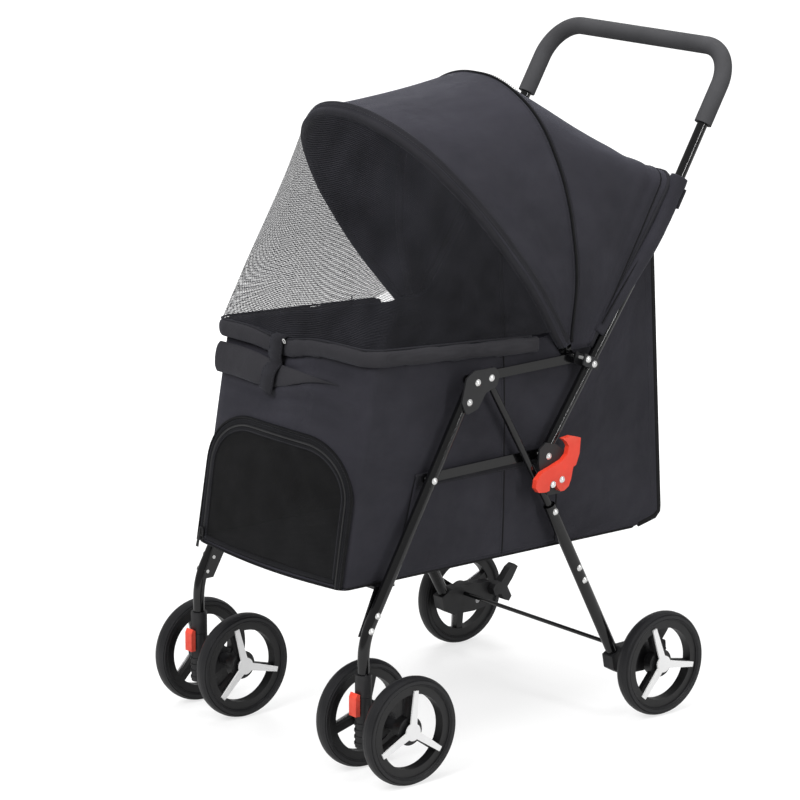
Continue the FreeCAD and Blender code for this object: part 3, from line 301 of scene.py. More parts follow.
def unit(rows):
    """The same directions, each of length one."""
    return rows / np.maximum(np.linalg.norm(rows, axis=-1, keepdims=True), 1e-12)


def evenly(line, count):
    """The same line with evenly spaced points."""
    line = np.asarray(line, float)
    run = lengths(line)
    wanted = np.linspace(0, run[-1], count)
    return np.stack([np.interp(wanted, run, line[:, k]) for k in range(line.shape[1])], 1)


def rounded(points, radii=None, arc=8):
    """Straight runs joined by tangent arcs; with no radii, the widest arcs that the runs allow."""
    points = [np.asarray(p, float) for p in points]
    line = [points[0]]
    for i in range(1, len(points) - 1):
        before = points[i] - points[i - 1]
        after = points[i + 1] - points[i]
        run = min(np.linalg.norm(before), np.linalg.norm(after))
        before = before / np.linalg.norm(before)
        after = after / np.linalg.norm(after)
        turn = math.acos(max(-1.0, min(1.0, float(before @ after))))
        radius = radii[i - 1] if radii else 0.45 * run / math.tan(turn / 2)
        reach = radius * math.tan(turn / 2)
        inward = (after - before) / np.linalg.norm(after - before)
        centre = points[i] + inward * radius / math.cos(turn / 2)
        enter = points[i] - before * reach - centre
        side = after - before * float(before @ after)
        side = side / np.linalg.norm(side)
        for k in range(arc + 1):
            angle = turn * k / arc
            line.append(centre + enter * math.cos(angle) + before * radius * math.sin(angle))
    line.append(points[-1])
    return np.array(line)


def hoop(half_wide, ends, front, radius):
    """A flat U with two round corners: in from one end, across the front and out to the other end."""
    return rounded([(half_wide, ends), (half_wide, front), (-half_wide, front), (-half_wide, ends)],
                   [radius, radius], 14)


def sheet_mesh(name, rows, material, thick=0.0, closed=False, keep=None):
    """A cloth surface from rows of points, mapped in metres, with a thickness when one is given."""
    rows = np.asarray(rows, float)
    count, width = rows.shape[:2]
    across = np.concatenate([[0.0], np.cumsum(np.linalg.norm(np.diff(rows, axis=1), axis=2).mean(0))])
    along = np.concatenate([[0.0], np.cumsum(np.linalg.norm(np.diff(rows, axis=0), axis=2).mean(1))])
    mapping = [(across[j], along[i]) for i in range(count) for j in range(width)]
    faces = grid_faces(count, width, closed, keep)
    obj = piece(name, rows.reshape(-1, 3), faces, material, mapping=mapping)
    if thick:
        solid = obj.modifiers.new("thickness", "SOLIDIFY")
        solid.thickness = thick
        solid.offset = 0.0
        solid.use_even_offset = False
        apply_modifiers(obj)
    return obj


def frames(line, normals):
    """Tangent, side and normal directions along a line."""
    ahead = unit(np.gradient(np.asarray(line, float), axis=0))
    normals = np.asarray(normals, float)
    if normals.ndim == 1:
        normals = np.repeat(normals[None], len(line), 0)
    side = unit(np.cross(ahead, normals))
    return ahead, side, np.cross(side, ahead)


def ellipse(half_side, half_up, count=12, power=1.0):
    """Profile points (side, up); a power under 1 squares it off."""
    angles = [2 * math.pi * k / count for k in range(count)]
    return [(half_side * math.copysign(abs(math.cos(a)) ** power, math.cos(a)),
             half_up * math.copysign(abs(math.sin(a)) ** power, math.sin(a))) for a in angles]


def strip(name, line, normals, profile, material, body=None, lift=0.0, closed=False,
          swell=None):
    """Sweeps a profile along a line that lies on a surface; closed joins its ends."""
    line = np.asarray(line, float)
    side, up = frames(line, normals)[1:]
    run = lengths(line)
    rim = [0.0]
    for k in range(1, len(profile)):
        rim.append(rim[-1] + math.dist(profile[k - 1], profile[k]))
    points = []
    mapping = []
    for i in range(len(line)):
        grow = swell(run[i] / run[-1]) if swell else 1.0
        for k, (a, b) in enumerate(profile):
            points.append(line[i] + side[i] * a * grow + up[i] * (b * grow + lift))
            mapping.append((rim[k], run[i]))
    columns = len(profile)
    faces = grid_faces(len(line), columns, True)
    if closed:
        last = (len(line) - 1) * columns
        faces += [(last + k, last + (k + 1) % columns, (k + 1) % columns, k) for k in range(columns)]
    else:
        faces.append(tuple(range(columns))[::-1])
        faces.append(tuple(range((len(line) - 1) * columns, len(line) * columns)))
    return piece(name, points, faces, material, body, mapping)


def tape(half, thick=0.0008):
    """A flat tape's profile with rounded edges."""
    return [(half, 0.0), (half * 0.96, thick), (0.0, thick * 1.1), (-half * 0.96, thick), (-half, 0.0),
            (-half * 0.9, -thick * 0.6), (half * 0.9, -thick * 0.6)]


def stitches(name, rows, body, step=0.0042, long=0.0027, thick=0.00045, sides=6):
    """Rows of sewn stitches as one piece. Each row is (line, normals, side offset, lift)."""
    points = []
    faces = []
    for line, normals, offset, lift in rows:
        run = lengths(np.asarray(line, float))
        count = max(2, int(run[-1] / step))
        dense = evenly(line, count)
        normals = np.asarray(normals, float)
        if normals.ndim == 2:
            wanted = np.linspace(0, run[-1], count)
            normals = np.stack([np.interp(wanted, run, normals[:, k]) for k in range(3)], 1)
        ahead, side, up = frames(dense, normals)
        for i in range(count):
            middle = dense[i] + side[i] * offset + up[i] * lift
            first = len(points)
            points.append(middle - ahead[i] * long / 2)
            for reach in (-0.3, 0.3):
                for a in range(sides):
                    turn = 2 * math.pi * a / sides
                    points.append(middle + ahead[i] * long * reach
                                  + (side[i] * math.cos(turn) + up[i] * math.sin(turn)) * thick)
            points.append(middle + ahead[i] * long / 2)
            near = first + 1
            far = near + sides
            for a in range(sides):
                b = (a + 1) % sides
                faces.append((first, near + b, near + a))
                faces.append((near + a, near + b, far + b, far + a))
                faces.append((far + sides, far + a, far + b))
    return piece(name, points, faces, thread, body)


def puff(obj, held, voxel, pressure, cap, cloth_frames=20):
    """Swells a closed fabric form by cloth simulation. held(point) says which places are sewn down."""
    remesh = obj.modifiers.new("remesh", "REMESH")
    remesh.mode = "VOXEL"
    remesh.voxel_size = voxel
    apply_modifiers(obj)
    start = np.array([v.co for v in obj.data.vertices], float)
    cloth = obj.modifiers.new("cloth", "CLOTH")
    cloth.settings.use_pressure = True
    cloth.settings.uniform_pressure_force = pressure
    cloth.settings.effector_weights.gravity = 0
    group = obj.vertex_groups.new(name="sewn")
    group.add([i for i, p in enumerate(start) if held(p)], 1.0, "REPLACE")
    cloth.settings.vertex_group_mass = "sewn"
    for step in range(1, cloth_frames + 1):
        scene.frame_set(step)
    moved = np.array([v.co for v in apply_modifiers(obj).data.vertices], float) - start
    far = np.maximum(np.linalg.norm(moved, axis=1, keepdims=True), 1e-9)
    moved = start + moved * np.minimum(1.0, cap / far)
    obj.data.vertices.foreach_set("co", moved.astype(np.float32).ravel())
    scene.frame_set(1)
    obj.modifiers.new("finer", "SUBSURF").levels = 1
    apply_modifiers(obj)
    soften(obj.data)
    return obj


def ripple(x, y, scale, seed):
    return noise.noise(Vector((x * scale, y * scale, seed)))


# ------------------------ cabin walls
side_low, side_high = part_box("bag_right_panel")
door_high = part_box("front_door")[1]
rim_low, rim_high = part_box("rim_sleeve")
pocket_low, pocket_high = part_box("side_pockets")
half = side_high.x
base = side_low.z
front_foot = side_low.y
lean = math.radians(9.6)
wall_top = rim_high.z - 0.007
front_long = (wall_top - base) / math.cos(lean)
front_top_y = front_foot + front_long * math.sin(lean)
front_normal = np.array([0.0, -math.cos(lean), math.sin(lean)])
rear_top = side_high.z
rear_wall = side_high.y
rear_lip = rear_wall - 0.009
rear_line = rounded([(rear_wall - 0.048, base), (rear_wall - 0.006, base + 0.009), (rear_wall, base + 0.016),
                     (rear_wall - 0.023, rear_top - 0.066), (rear_lip, rear_top)], [0.006, 0.006, 0.12])
handle_axis = Vector(joints["handle_fold"]["pos_m"])
mouth_line = rounded([(front_top_y, wall_top), (handle_axis.y - 0.040, wall_top - 0.002),
                      (handle_axis.y + 0.010, handle_axis.z + 0.030), (rear_wall - 0.037, rear_top - 0.028),
                      (rear_lip, rear_top)], [0.02, 0.02, 0.05])
corner = 0.012
tight = 0.006
strap_x = -0.024
door_half = door_high.x
door_sill = 0.004
door_head = 0.178
door_arch = 0.066
door_turn = 0.088
hem_h = 0.266
tuck_h = front_long - 0.021
full_turn = 2 * math.pi
hole_steps = 30
top_steps = 22
door_columns = 34
jamb_columns = 6
side_columns = 56
rear_columns = 28
corner_columns = 5


def front_y(z):
    return front_foot + (min(z, wall_top) - base) * math.tan(lean)


def rear_y(z):
    return float(np.interp(z, rear_line[:, 1], rear_line[:, 0]))


def mouth_z(y):
    return float(np.interp(y, mouth_line[:, 0], mouth_line[:, 1]))


def arch(share):
    """A dome from 0 through 1 to 0."""
    return math.sin(math.pi * min(1.0, max(0.0, share)))


def front_skin(x, h, lift=0.0):
    """A point of the front wall: x across, h up along its lean."""
    up = h / front_long
    middle = arch(0.5 + x / (2 * (half - 0.003)))
    puffed = 0.0115 * middle ** 0.7 * arch(min(1.0, up * 1.04)) ** 0.75
    foot = max(0.0, 1 - h / 0.06) ** 2 * middle
    crumple = max(0.0, 1 - abs(up - 0.80) / 0.22)
    fold = 0.0030 * math.sin(full_turn * (h * 42 + 1.1 * ripple(x, h * 0.5, 8.0, 2.0)))
    fold += 0.0036 * ripple(x * 0.5, h, 30.0, 5.0)
    sway = 0.0016 * ripple(x, h, 11.0, 9.0) * arch(up)
    edge = arch(0.5 + x / (2 * half)) ** 0.4
    tucked = 0.0065 * math.exp(-((h - tuck_h) / 0.009) ** 2) * max(0.0, 1 - (x + half) / 0.22) * edge
    out = puffed + (fold * crumple + sway) * edge + lift - tucked
    sunk = 0.0045 * foot
    flat = np.array([x, front_foot + h * math.sin(lean) - sunk, base + h * math.cos(lean) - sunk])
    return flat + front_normal * out


def side_skin(side, y, z, lift=0.0):
    """A point of a side wall."""
    along = (y - front_y(z)) / (rear_y(z) - front_y(z))
    up = (z - base) / (mouth_z(y) - base)
    puffed = 0.0042 * arch(along) ** 0.6 * arch(up) ** 0.6
    sway = 0.0022 * ripple(y, z, 7.0, 3.0 + side) + 0.0010 * ripple(y, z, 22.0, 7.0 + side)
    out = puffed + sway * arch(along) ** 0.5 * arch(up) ** 0.5
    return np.array([side * (half + out + lift), y, z])


def rear_skin(x, z, lift=0.0):
    """A point of the rear wall."""
    up = (z - base) / (rear_top - base)
    across = arch(0.5 + x / (2 * half))
    puffed = 0.0060 * across ** 0.6 * arch(up) ** 0.6
    sway = 0.0024 * ripple(x, z, 8.0, 13.0) * across ** 0.5 * arch(up)
    return np.array([x, rear_y(z) + puffed + sway + lift, z])


def door_width(h):
    """Half width of the door opening at a height."""
    over = min(h, door_head) - (door_head - door_arch)
    if over <= 0:
        return door_half
    return door_half - door_turn + door_turn * math.sqrt(max(0.0, 1 - (over / door_arch) ** 2))


def door_height(share, head=door_head):
    """A height on the door, in rows that close up towards its round top."""
    return door_sill + (head - door_sill) * (1 - (1 - share) ** 1.35)


rows_up = [0.0] + [door_height(k / hole_steps) for k in range(hole_steps + 1)]
rows_up += [door_head + (front_long - door_head) * k / top_steps for k in range(1, top_steps + 1)]


def slack(x, y):
    """How far the mouth hangs: on the left side, under the strap, and more towards the hinges."""
    left = 0.009 * max(0.0, 1 - (x + half) / 0.27) ** 1.3
    pulled = 0.010 * math.exp(-((x - strap_x) / 0.05) ** 2) * max(0.0, 1 - max(0.0, y - front_top_y) / 0.03)
    fall = (0.0165 + 0.0035 * x / half) * max(0.0, (y - front_top_y) / (handle_axis.y - front_top_y))
    fade = max(0.0, min(1.0, 1 - (y - handle_axis.y + 0.055) / 0.05))
    return (left + pulled + fall) * fade


def shell_row(h):
    """One loop round the cabin, at a height given along the front wall."""
    t = h / front_long
    inner = door_width(h)
    straight = half - corner
    across = [inner * (2 * k / door_columns - 1) for k in range(door_columns + 1)]
    jamb = [inner + (straight - inner) * k / jamb_columns for k in range(1, jamb_columns + 1)]
    row = [front_skin(x, h) for x in [-x for x in reversed(jamb)] + across + jamb]
    rise = front_long * math.cos(lean)
    turns = [math.pi / 2 * k / corner_columns for k in range(1, corner_columns + 1)]
    for side in (1, -1):
        z = base + t * rise
        front_corner = [np.array([side * (straight + corner * math.sin(a)),
                                  front_y(z) + corner * (1 - math.cos(a)), z]) for a in turns]
        wall = []
        for k in range(1, side_columns):
            u = k / side_columns
            top_y = front_top_y + corner + u * (rear_lip - front_top_y - corner - tight)
            z = base + t * (mouth_z(top_y) - base)
            y = front_y(z) + corner + u * (rear_y(z) - front_y(z) - corner - tight)
            wall.append(side_skin(side, y, z))
        z = base + t * (rear_top - base)
        rear_corner = [np.array([side * (half - tight + tight * math.cos(a)),
                                 rear_y(z) - tight * (1 - math.sin(a)), z]) for a in [0.0] + turns[:-1]]
        if side == 1:
            row += front_corner + wall + rear_corner
            for k in range(rear_columns + 1):
                row.append(rear_skin((half - tight) * (1 - 2 * k / rear_columns), z))
        else:
            row += list(reversed(front_corner + wall + rear_corner))
    for p in row:
        p[2] -= slack(p[0], p[1]) * t ** 3
    return row


def not_door(i, j):
    return not (1 <= i <= hole_steps and jamb_columns <= j < jamb_columns + door_columns)


loops = [shell_row(h) for h in rows_up]
bag_shell = sheet_mesh("bag_shell", loops, bag_cloth, 0.0016, True, not_door)
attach(bag_shell, "front_frame")
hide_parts("bag_left_panel", "bag_right_panel", "bag_rear_panel", "bag_front_panel")

bottom = []
for v in np.linspace(0, 1, 41):
    row = []
    for u in np.linspace(0, 1, 29):
        x = half * (2 * u - 1) * 0.997
        first = front_skin(x, 0.0)
        y = first[1] + 0.0005 + v * (rear_y(base) - first[1] - 0.0015)
        drop = (base - first[2]) * max(0.0, 1 - v / 0.15) + 0.0025 * arch(u) * arch(v) ** 0.5
        row.append((x, y, base + 0.0002 - drop))
    bottom.append(row)
bag_bottom = sheet_mesh("bag_bottom", bottom, bag_cloth, 0.0014)
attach(bag_bottom, "front_frame")

# Piping round the lower edge and up the two rear corners, and a hem along the mouth.
foot_line = rounded([(0.0, front_foot), (half, front_foot), (half, rear_y(base)), (-half, rear_y(base)),
                     (-half, front_foot), (0.0, front_foot)], [corner, tight, tight, corner], 10)
lower_edge = []
for x, y in evenly(foot_line, 300):
    if y < front_foot + 0.0002:
        lower_edge.append(front_skin(x, 0.0, 0.0005))
    else:
        lower_edge.append((x, y, base))
strip("bag_lower_piping", evenly(lower_edge, 320)[:-1], (0, 0, 1), ellipse(0.0017, 0.0019, 10),
      piping_cloth, "front_frame", closed=True)
for side, half_name in ((1, "right"), (-1, "left")):
    outward = (side, 0, 0)
    upright = [(side * (half - 0.0010), rear_y(z) - 0.0024, z)
               for z in np.linspace(base + 0.002, rear_top, 70)]
    strip("bag_rear_piping_" + half_name, upright, (0, 1, 0), ellipse(0.0030, 0.0044, 12), piping_cloth,
          "front_frame")
    mouth = [side_skin(side, y, mouth_z(y) - 0.006, 0.0008)
             for y in np.linspace(handle_axis.y + 0.004, rear_lip - 0.010, 60)]
    strip("bag_mouth_hem_" + half_name, mouth, outward, tape(0.0065, 0.0012), binding_cloth, "front_frame")
    rear_fold = [(side * (half + 0.0012), rear_y(z) - 0.017, z)
                 for z in np.linspace(base + 0.03, rear_top - 0.02, 60)]
    stitches("bag_rear_stitching_" + half_name, [(rear_fold, outward, 0.0, 0.0004)], "front_frame")
rear_hem = [rear_skin(x, rear_top - 0.010, 0.0012) for x in np.linspace(-half + 0.01, half - 0.01, 50)]
strip("bag_rear_hem", rear_hem, (0, 1, 0), tape(0.010, 0.0013), binding_cloth, "front_frame")
stitches("bag_rear_hem_stitching", [(rear_hem, (0, 1, 0), o, 0.0018) for o in (-0.007, 0.007)], "front_frame")


# ------------------------ front door and its zip
def door_edge(offset, lift, count=150, foot=0.0):
    right = [(door_half + offset, foot)]
    for a in np.linspace(0, math.pi / 2, 24):
        right.append((door_half - door_turn + (door_turn + offset) * math.cos(a),
                      door_head - door_arch + (door_arch + offset) * math.sin(a)))
    line = np.array([(-x, h) for x, h in right] + right[::-1])
    return np.array([front_skin(x, h, lift) for x, h in evenly(line, count)])


door_gap = 0.0015
panel = []
for share in np.linspace(0, 1, 41):
    h = door_height(share, door_head - door_gap)
    wide = door_width(h + door_gap) - door_gap
    panel.append([front_skin(wide * (2 * u - 1), h, 0.0003) for u in np.linspace(0, 1, 45)])
door_panel = sheet_mesh("door_panel", panel, door_net, 0.0)
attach(door_panel, "front_door")
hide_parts("front_door")
door_tape = strip("door_tape", door_edge(-0.0046, 0.0006, foot=door_sill), front_normal, tape(0.0036),
                  door_edging, "front_door")
door_seam = stitches("door_stitching", [(door_edge(-0.0064, 0.0016, foot=0.008), front_normal, 0.0, 0.0)],
                     "front_door")
sill_half = door_half - 0.004
sill = [front_skin(x, door_sill + 0.004, 0.0006) for x in np.linspace(-sill_half, sill_half, 60)]
door_hem = strip("door_hem", sill, front_normal, tape(0.0030, 0.001), door_edging, "front_door")

tooth_turns = full_turn * 165
strip("zip_coil", door_edge(0.0002, 0.0014, 520), front_normal, ellipse(0.0017, 0.0011, 8), zip_plastic,
      "front_frame", swell=lambda share: 1.0 + 0.20 * math.sin(share * tooth_turns))
strip("zip_tape", door_edge(0.0054, 0.0006), front_normal, tape(0.0042), door_edging, "front_frame")
strip("zip_piping", door_edge(0.0112, 0.0018), front_normal, ellipse(0.0020, 0.0020, 12), piping_cloth,
      "front_frame")
stitches("zip_stitching", [(door_edge(0.0080, 0.0017), front_normal, 0.0, 0.0)], "front_frame")
slider_at = front_skin(-door_half - 0.0005, 0.014, 0.0042)
slider_line = [slider_at + np.array([0, 0, 1.0]) * s for s in np.linspace(-0.0065, 0.0065, 9)]
strip("zip_slider", slider_line, front_normal, ellipse(0.0048, 0.0026, 12, 0.7), zip_plastic, "front_frame",
      swell=lambda share: 0.55 + 0.45 * arch(0.15 + 0.7 * share))
pull_line = [slider_at + front_normal * (0.003 + 0.004 * s) + np.array([-0.002 * s, 0, 0.004 - 0.026 * s])
             for s in np.linspace(0, 1, 12)]
strip("zip_pull", pull_line, front_normal, ellipse(0.0026, 0.0008, 10, 0.8), zip_plastic, "front_frame",
      swell=lambda share: 0.7 + 0.5 * share)

# ------------------------ padded rim, front hem and strap
roll_side = 0.007
roll_x = rim_high.x - roll_side
roll_front = rim_low.y + roll_side
roll_z = (rim_low.z + rim_high.z) / 2
rim_turn = 0.026
roll_flat = hoop(roll_x, rim_high.y + 0.012, roll_front, rim_turn)


def roll_dip(x, y):
    """How far the roll hangs below its level."""
    return slack(x, y) + 0.0015 * arch(0.5 + x / (2 * roll_x))


def drawn_out(x, y):
    """How far the roll and the hem stand forward at the left front corner."""
    return 0.005 * max(0.0, 1 - math.dist((x, y), (-roll_x, roll_front)) / 0.15)


roll_path = np.array([(x, y - drawn_out(x, y), roll_z - roll_dip(x, y)) for x, y in evenly(roll_flat, 190)])
roll_z_at_strap = roll_z - roll_dip(strap_x, roll_front)
sewn = [(strap_x, roll_front), (roll_x - 0.004, roll_front + 0.004), (-roll_x + 0.004, roll_front + 0.004),
        (roll_x, -0.12), (-roll_x, -0.12)]


def roll_swell(share):
    """Fullness of the roll, drawn in at its seams."""
    at = roll_path[min(len(roll_path) - 1, int(share * (len(roll_path) - 1)))]
    near = min(math.dist(at[:2], s) for s in sewn)
    return 0.80 + 0.10 * min(1.0, near / 0.03) + 0.05 * ripple(share * 10, 0.0, 3.0, 4.0)


rim_roll = strip("rim_roll", roll_path, (0, 0, 1), ellipse(0.0062, 0.0145, 18, 0.8), roll_cloth, None,
                 swell=roll_swell)
puff(rim_roll, lambda p: min(math.dist(p[:2], s) for s in sewn) < 0.008, 0.0045, 4.0, 0.0045)
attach(rim_roll, "front_frame")
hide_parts("rim_sleeve")

hem_path = []
for x in np.linspace(-half + 0.002, half - 0.060, 110):
    drop = 0.6 * roll_dip(x, roll_front) + 0.0012 * ripple(x, 0.0, 9.0, 1.0)
    hem_path.append(front_skin(x, hem_h - drop, 0.0030) - np.array([0.0, drawn_out(x, roll_front), 0.0]))


def hem_swell(share):
    """Full height from the left corner to the strap, fading out towards the right."""
    tail = min(1.0, (1 - share) / 0.70)
    tail = tail * tail * (3 - 2 * tail)
    return 0.02 + 0.98 * tail * min(1.0, 0.80 + share / 0.08) + 0.02 * ripple(share * 6, 1.0, 2.0, 8.0) * tail


front_hem = strip("front_hem", hem_path, front_normal, ellipse(0.0215, 0.0052, 22, 0.95), roll_cloth, None,
                  swell=hem_swell)
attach(front_hem, "front_frame")

at = roll_z_at_strap
strap_turns = rounded([(roll_front + 0.0115, at + 0.002), (roll_front + 0.0085, at + 0.0165),
                       (roll_front - 0.0085, at + 0.0160), (roll_front - 0.0105, at - 0.010),
                       (roll_front - 0.0060, at - 0.020), (roll_front - 0.0175, at - 0.032),
                       (roll_front - 0.0190, at - 0.060)], None, 8)
strap_line = np.array([(strap_x - 0.012 * max(0, at - z) / 0.06, y, z) for y, z in evenly(strap_turns, 70)])
strap_normals = unit(np.cross((1.0, 0, 0), np.gradient(strap_line, axis=0)))
if strap_normals[len(strap_normals) // 2][1] > 0:
    strap_normals = -strap_normals
strip("rim_strap", strap_line, strap_normals, tape(0.0145, 0.0013), binding_cloth, "front_frame")
strap_rows = [(strap_line[4:-3], strap_normals[4:-3], offset, 0.0020) for offset in (-0.0125, 0.0125)]
stitches("rim_strap_stitching", strap_rows, "front_frame")
ring = []
for a in np.linspace(0, full_turn, 25)[:-1]:
    ring.append((strap_x + 0.0165 + 0.0026 * math.cos(a), roll_front - 0.0085 - 0.001 * math.sin(a),
                 at + 0.012 + 0.0030 * math.sin(a)))
strip("strap_ring", ring, (0, -1, 0), ellipse(0.0007, 0.0007, 8), finishes["rivet_metal"], "front_frame",
      closed=True)

# ------------------------ side pockets and seams
pocket_top = pocket_high.z
pocket_slant = 0.036
seam_y = -0.060


def pocket_lift(y, z):
    share = (z - pocket_low.z) / (pocket_top - pocket_low.z)
    left = arch((y - pocket_low.y) / (seam_y - pocket_low.y)) if y < seam_y else 0.0
    right = arch((y - seam_y) / (pocket_high.y - seam_y)) if y > seam_y else 0.0
    return 0.0012 + 0.0018 * max(left, right) ** 0.7 * (0.25 + 0.75 * share) * min(1.0, share * 5)


for side, half_name in ((1, "right"), (-1, "left")):
    outward = (side, 0, 0)
    rows = []
    for share in np.linspace(0, 1, 31):
        z = pocket_low.z + (pocket_top - pocket_low.z) * share
        start = pocket_low.y + pocket_slant * share
        rows.append([side_skin(side, y, z, pocket_lift(y, z)) for y in np.linspace(start, pocket_high.y, 61)])
    pocket = sheet_mesh("pocket_" + half_name, rows, bag_cloth, 0.0011)
    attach(pocket, "front_frame")
    if side == 1:
        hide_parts("side_pockets")
    band_ys = np.linspace(pocket_low.y + 0.0345, pocket_high.y - 0.001, 70)
    band = [side_skin(side, y, pocket_top - 0.0085, pocket_lift(y, pocket_top) + 0.0004) for y in band_ys]
    pocket_band = strip("pocket_band_" + half_name, band, outward, tape(0.0095, 0.0010), binding_cloth,
                        "front_frame")
    band_seam = stitches("pocket_band_stitching_" + half_name,
                         [(band, outward, o, 0.0012) for o in (-0.0075, 0.0075)], "front_frame")
    seam = []
    for z in np.linspace(base + 0.004, mouth_z(seam_y) - 0.004, 90):
        on_pocket = pocket_low.z < z < pocket_top
        seam.append(side_skin(side, seam_y, z, (pocket_lift(seam_y, z) if on_pocket else 0.0) + 0.0006))
    strip("side_seam_" + half_name, seam, outward, ellipse(0.0011, 0.0008, 8), piping_cloth, "front_frame")
    stitches("side_seam_stitching_" + half_name, [(seam, outward, -0.0042, 0.0003)], "front_frame")
    rear_join = [side_skin(side, pocket_high.y - 0.001, z, pocket_lift(pocket_high.y, z) + 0.0006)
                 for z in np.linspace(base + 0.006, pocket_top, 50)]
    front_join = [side_skin(side, y, z, 0.0016)
                  for y, z in zip(np.linspace(pocket_low.y, pocket_low.y + pocket_slant, 50),
                                  np.linspace(base + 0.006, pocket_top, 50))]
    for place, join in (("rear", rear_join), ("front", front_join)):
        strip(f"pocket_{place}_seam_{half_name}", join, outward, ellipse(0.0011, 0.0009, 8), piping_cloth,
              "front_frame")

# ------------------------ hood
bow_axis = Vector(joints["canopy_fold"]["pos_m"])
front_bow_long, front_tilt = 0.432, math.radians(52.6)
mid_bow_long, mid_tilt = 0.371, math.radians(86.0)
cloth_off = 0.0056


def bow_line(long, tilt, off, lowest, count):
    """A line beside a bow, off outward of its rod, from the right foot over to the left one."""
    side = [(0.1700, 0.004), (0.1708, 0.034), (0.191, long * 0.33), (0.177, long * 0.64),
            (0.1273, long * 0.885), (0.0475, long + 0.001)]
    flat = rounded(side + [(-x, r) for x, r in reversed(side)], None, 14)
    flat = evenly(flat, 400)
    ahead = unit(np.gradient(flat, axis=0))
    flat = flat + np.stack([ahead[:, 1], -ahead[:, 0]], 1) * off
    flat = evenly(flat[flat[:, 1] >= lowest], count)
    reach = flat[:, 1]
    line = np.stack([flat[:, 0], bow_axis.y - reach * math.cos(tilt), bow_axis.z + reach * math.sin(tilt)], 1)
    normals = unit(np.cross((0.0, math.sin(tilt), math.cos(tilt)), np.gradient(line, axis=0)))
    if normals[count // 2][2] < 0:
        normals = -normals
    return line, normals


def spread(first, second, rows, sag, creases=None):
    """Rows of points from one line to another, drawn in between them as stretched cloth is."""
    first = np.asarray(first)
    second = np.asarray(second)
    made = np.array([first + (second - first) * (i / (rows - 1)) for i in range(rows)])
    down = unit(np.cross(np.gradient(made, axis=1), np.gradient(made, axis=0)))
    centre = np.array([0.0, bow_axis.y, bow_axis.z])
    middle = (rows // 2, made.shape[1] // 2)
    if (made[middle] - centre) @ down[middle] > 0:
        down = -down
    for i in range(rows):
        for j in range(made.shape[1]):
            v, s = i / (rows - 1), j / (made.shape[1] - 1)
            amount = sag * arch(v) * arch(s) ** 0.4
            if creases:
                amount += creases(s, v) * arch(v) ** 0.5
            made[i, j] += down[i, j] * amount
    return made


def flat_size(rows):
    """The cut of a sheet: widest and longest run of its surface, and its area."""
    wide = max(lengths(r)[-1] for r in rows)
    long = max(lengths(rows[:, j])[-1] for j in range(rows.shape[1]))
    a = rows[1:, :-1] - rows[:-1, :-1]
    b = rows[:-1, 1:] - rows[:-1, :-1]
    return (float(wide), float(long)), float(np.linalg.norm(np.cross(a, b), axis=2).sum())


def declare(rows):
    flat, area = flat_size(rows)
    area = min(area, flat[0] * flat[1])


across_hood = 101
beside_bow = math.radians(0.3)
front_edge = bow_line(front_bow_long, front_tilt + 2 * beside_bow, cloth_off, 0.022, across_hood)[0]
mid_front = bow_line(mid_bow_long, mid_tilt - beside_bow, cloth_off, 0.022, across_hood)[0]
mid_back = bow_line(mid_bow_long, mid_tilt + beside_bow, cloth_off, 0.013, across_hood)[0]

binding_line, binding_out = bow_line(front_bow_long, front_tilt, 0.0, 0.024, 220)
binding_shape = [(-0.0054, 0.0006), (-0.0046, 0.0040), (-0.0020, 0.0056), (0.0018, 0.0060), (0.0048, 0.0054),
                 (0.0090, 0.0066), (0.0140, 0.0070), (0.0148, 0.0062), (0.0140, 0.0052), (0.0074, 0.0042),
                 (0.0046, 0.0016), (0.0044, -0.0030), (0.0014, -0.0048), (-0.0026, -0.0046),
                 (-0.0050, -0.0026)]
front_binding = strip("front_binding", binding_line, binding_out, binding_shape, binding_cloth, "front_bow")
binding_rows = [(binding_line[4:-4], binding_out[4:-4], offset, lift)
                for offset, lift in ((0.0072, 0.0067), (0.0124, 0.0074))]
binding_seam = stitches("front_binding_stitching", binding_rows, "front_bow")
mid_rows = spread(front_edge, mid_front, 33, 0.0034, lambda s, v: 0.0010 * ripple(s * 4, v, 2.4, 6.0))
mid_panel = sheet_mesh("canopy_mid", mid_rows, canopy_cloth, 0.0012)
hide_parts("canopy_mid_panel")
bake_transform(mid_panel)
declare(mid_rows)

piping_line, piping_out = bow_line(mid_bow_long, mid_tilt, cloth_off + 0.0010, 0.024, 200)
mid_piping = strip("mid_piping", piping_line, piping_out, ellipse(0.0021, 0.0021, 12), piping_cloth,
                   "mid_bow")
channel_line, channel_out = bow_line(mid_bow_long, mid_tilt, 0.0006, 0.030, 160)
mid_channel = strip("mid_channel", channel_line, channel_out, ellipse(0.0066, 0.0044, 14), binding_cloth,
                    "mid_bow")
mid_seams = stitches("mid_stitching", [(piping_line, piping_out, o, 0.0002) for o in (-0.0052, 0.0052)],
                     "mid_bow")

rear_low = np.array([0.0, handle_axis.y + 0.0120, handle_axis.z + 0.0151])
rear_high = np.array([0.0, handle_axis.y + 0.1625, handle_axis.z + 0.2384])
tube_x = 0.187
climb = rear_high - rear_low
edge_long = float(np.linalg.norm(climb))
edge_flat = evenly(hoop(tube_x, 0.0, edge_long, 0.024), across_hood)
rear_edge = np.array([rear_low + np.array([x, 0, 0]) + climb * (r / edge_long) for x, r in edge_flat])


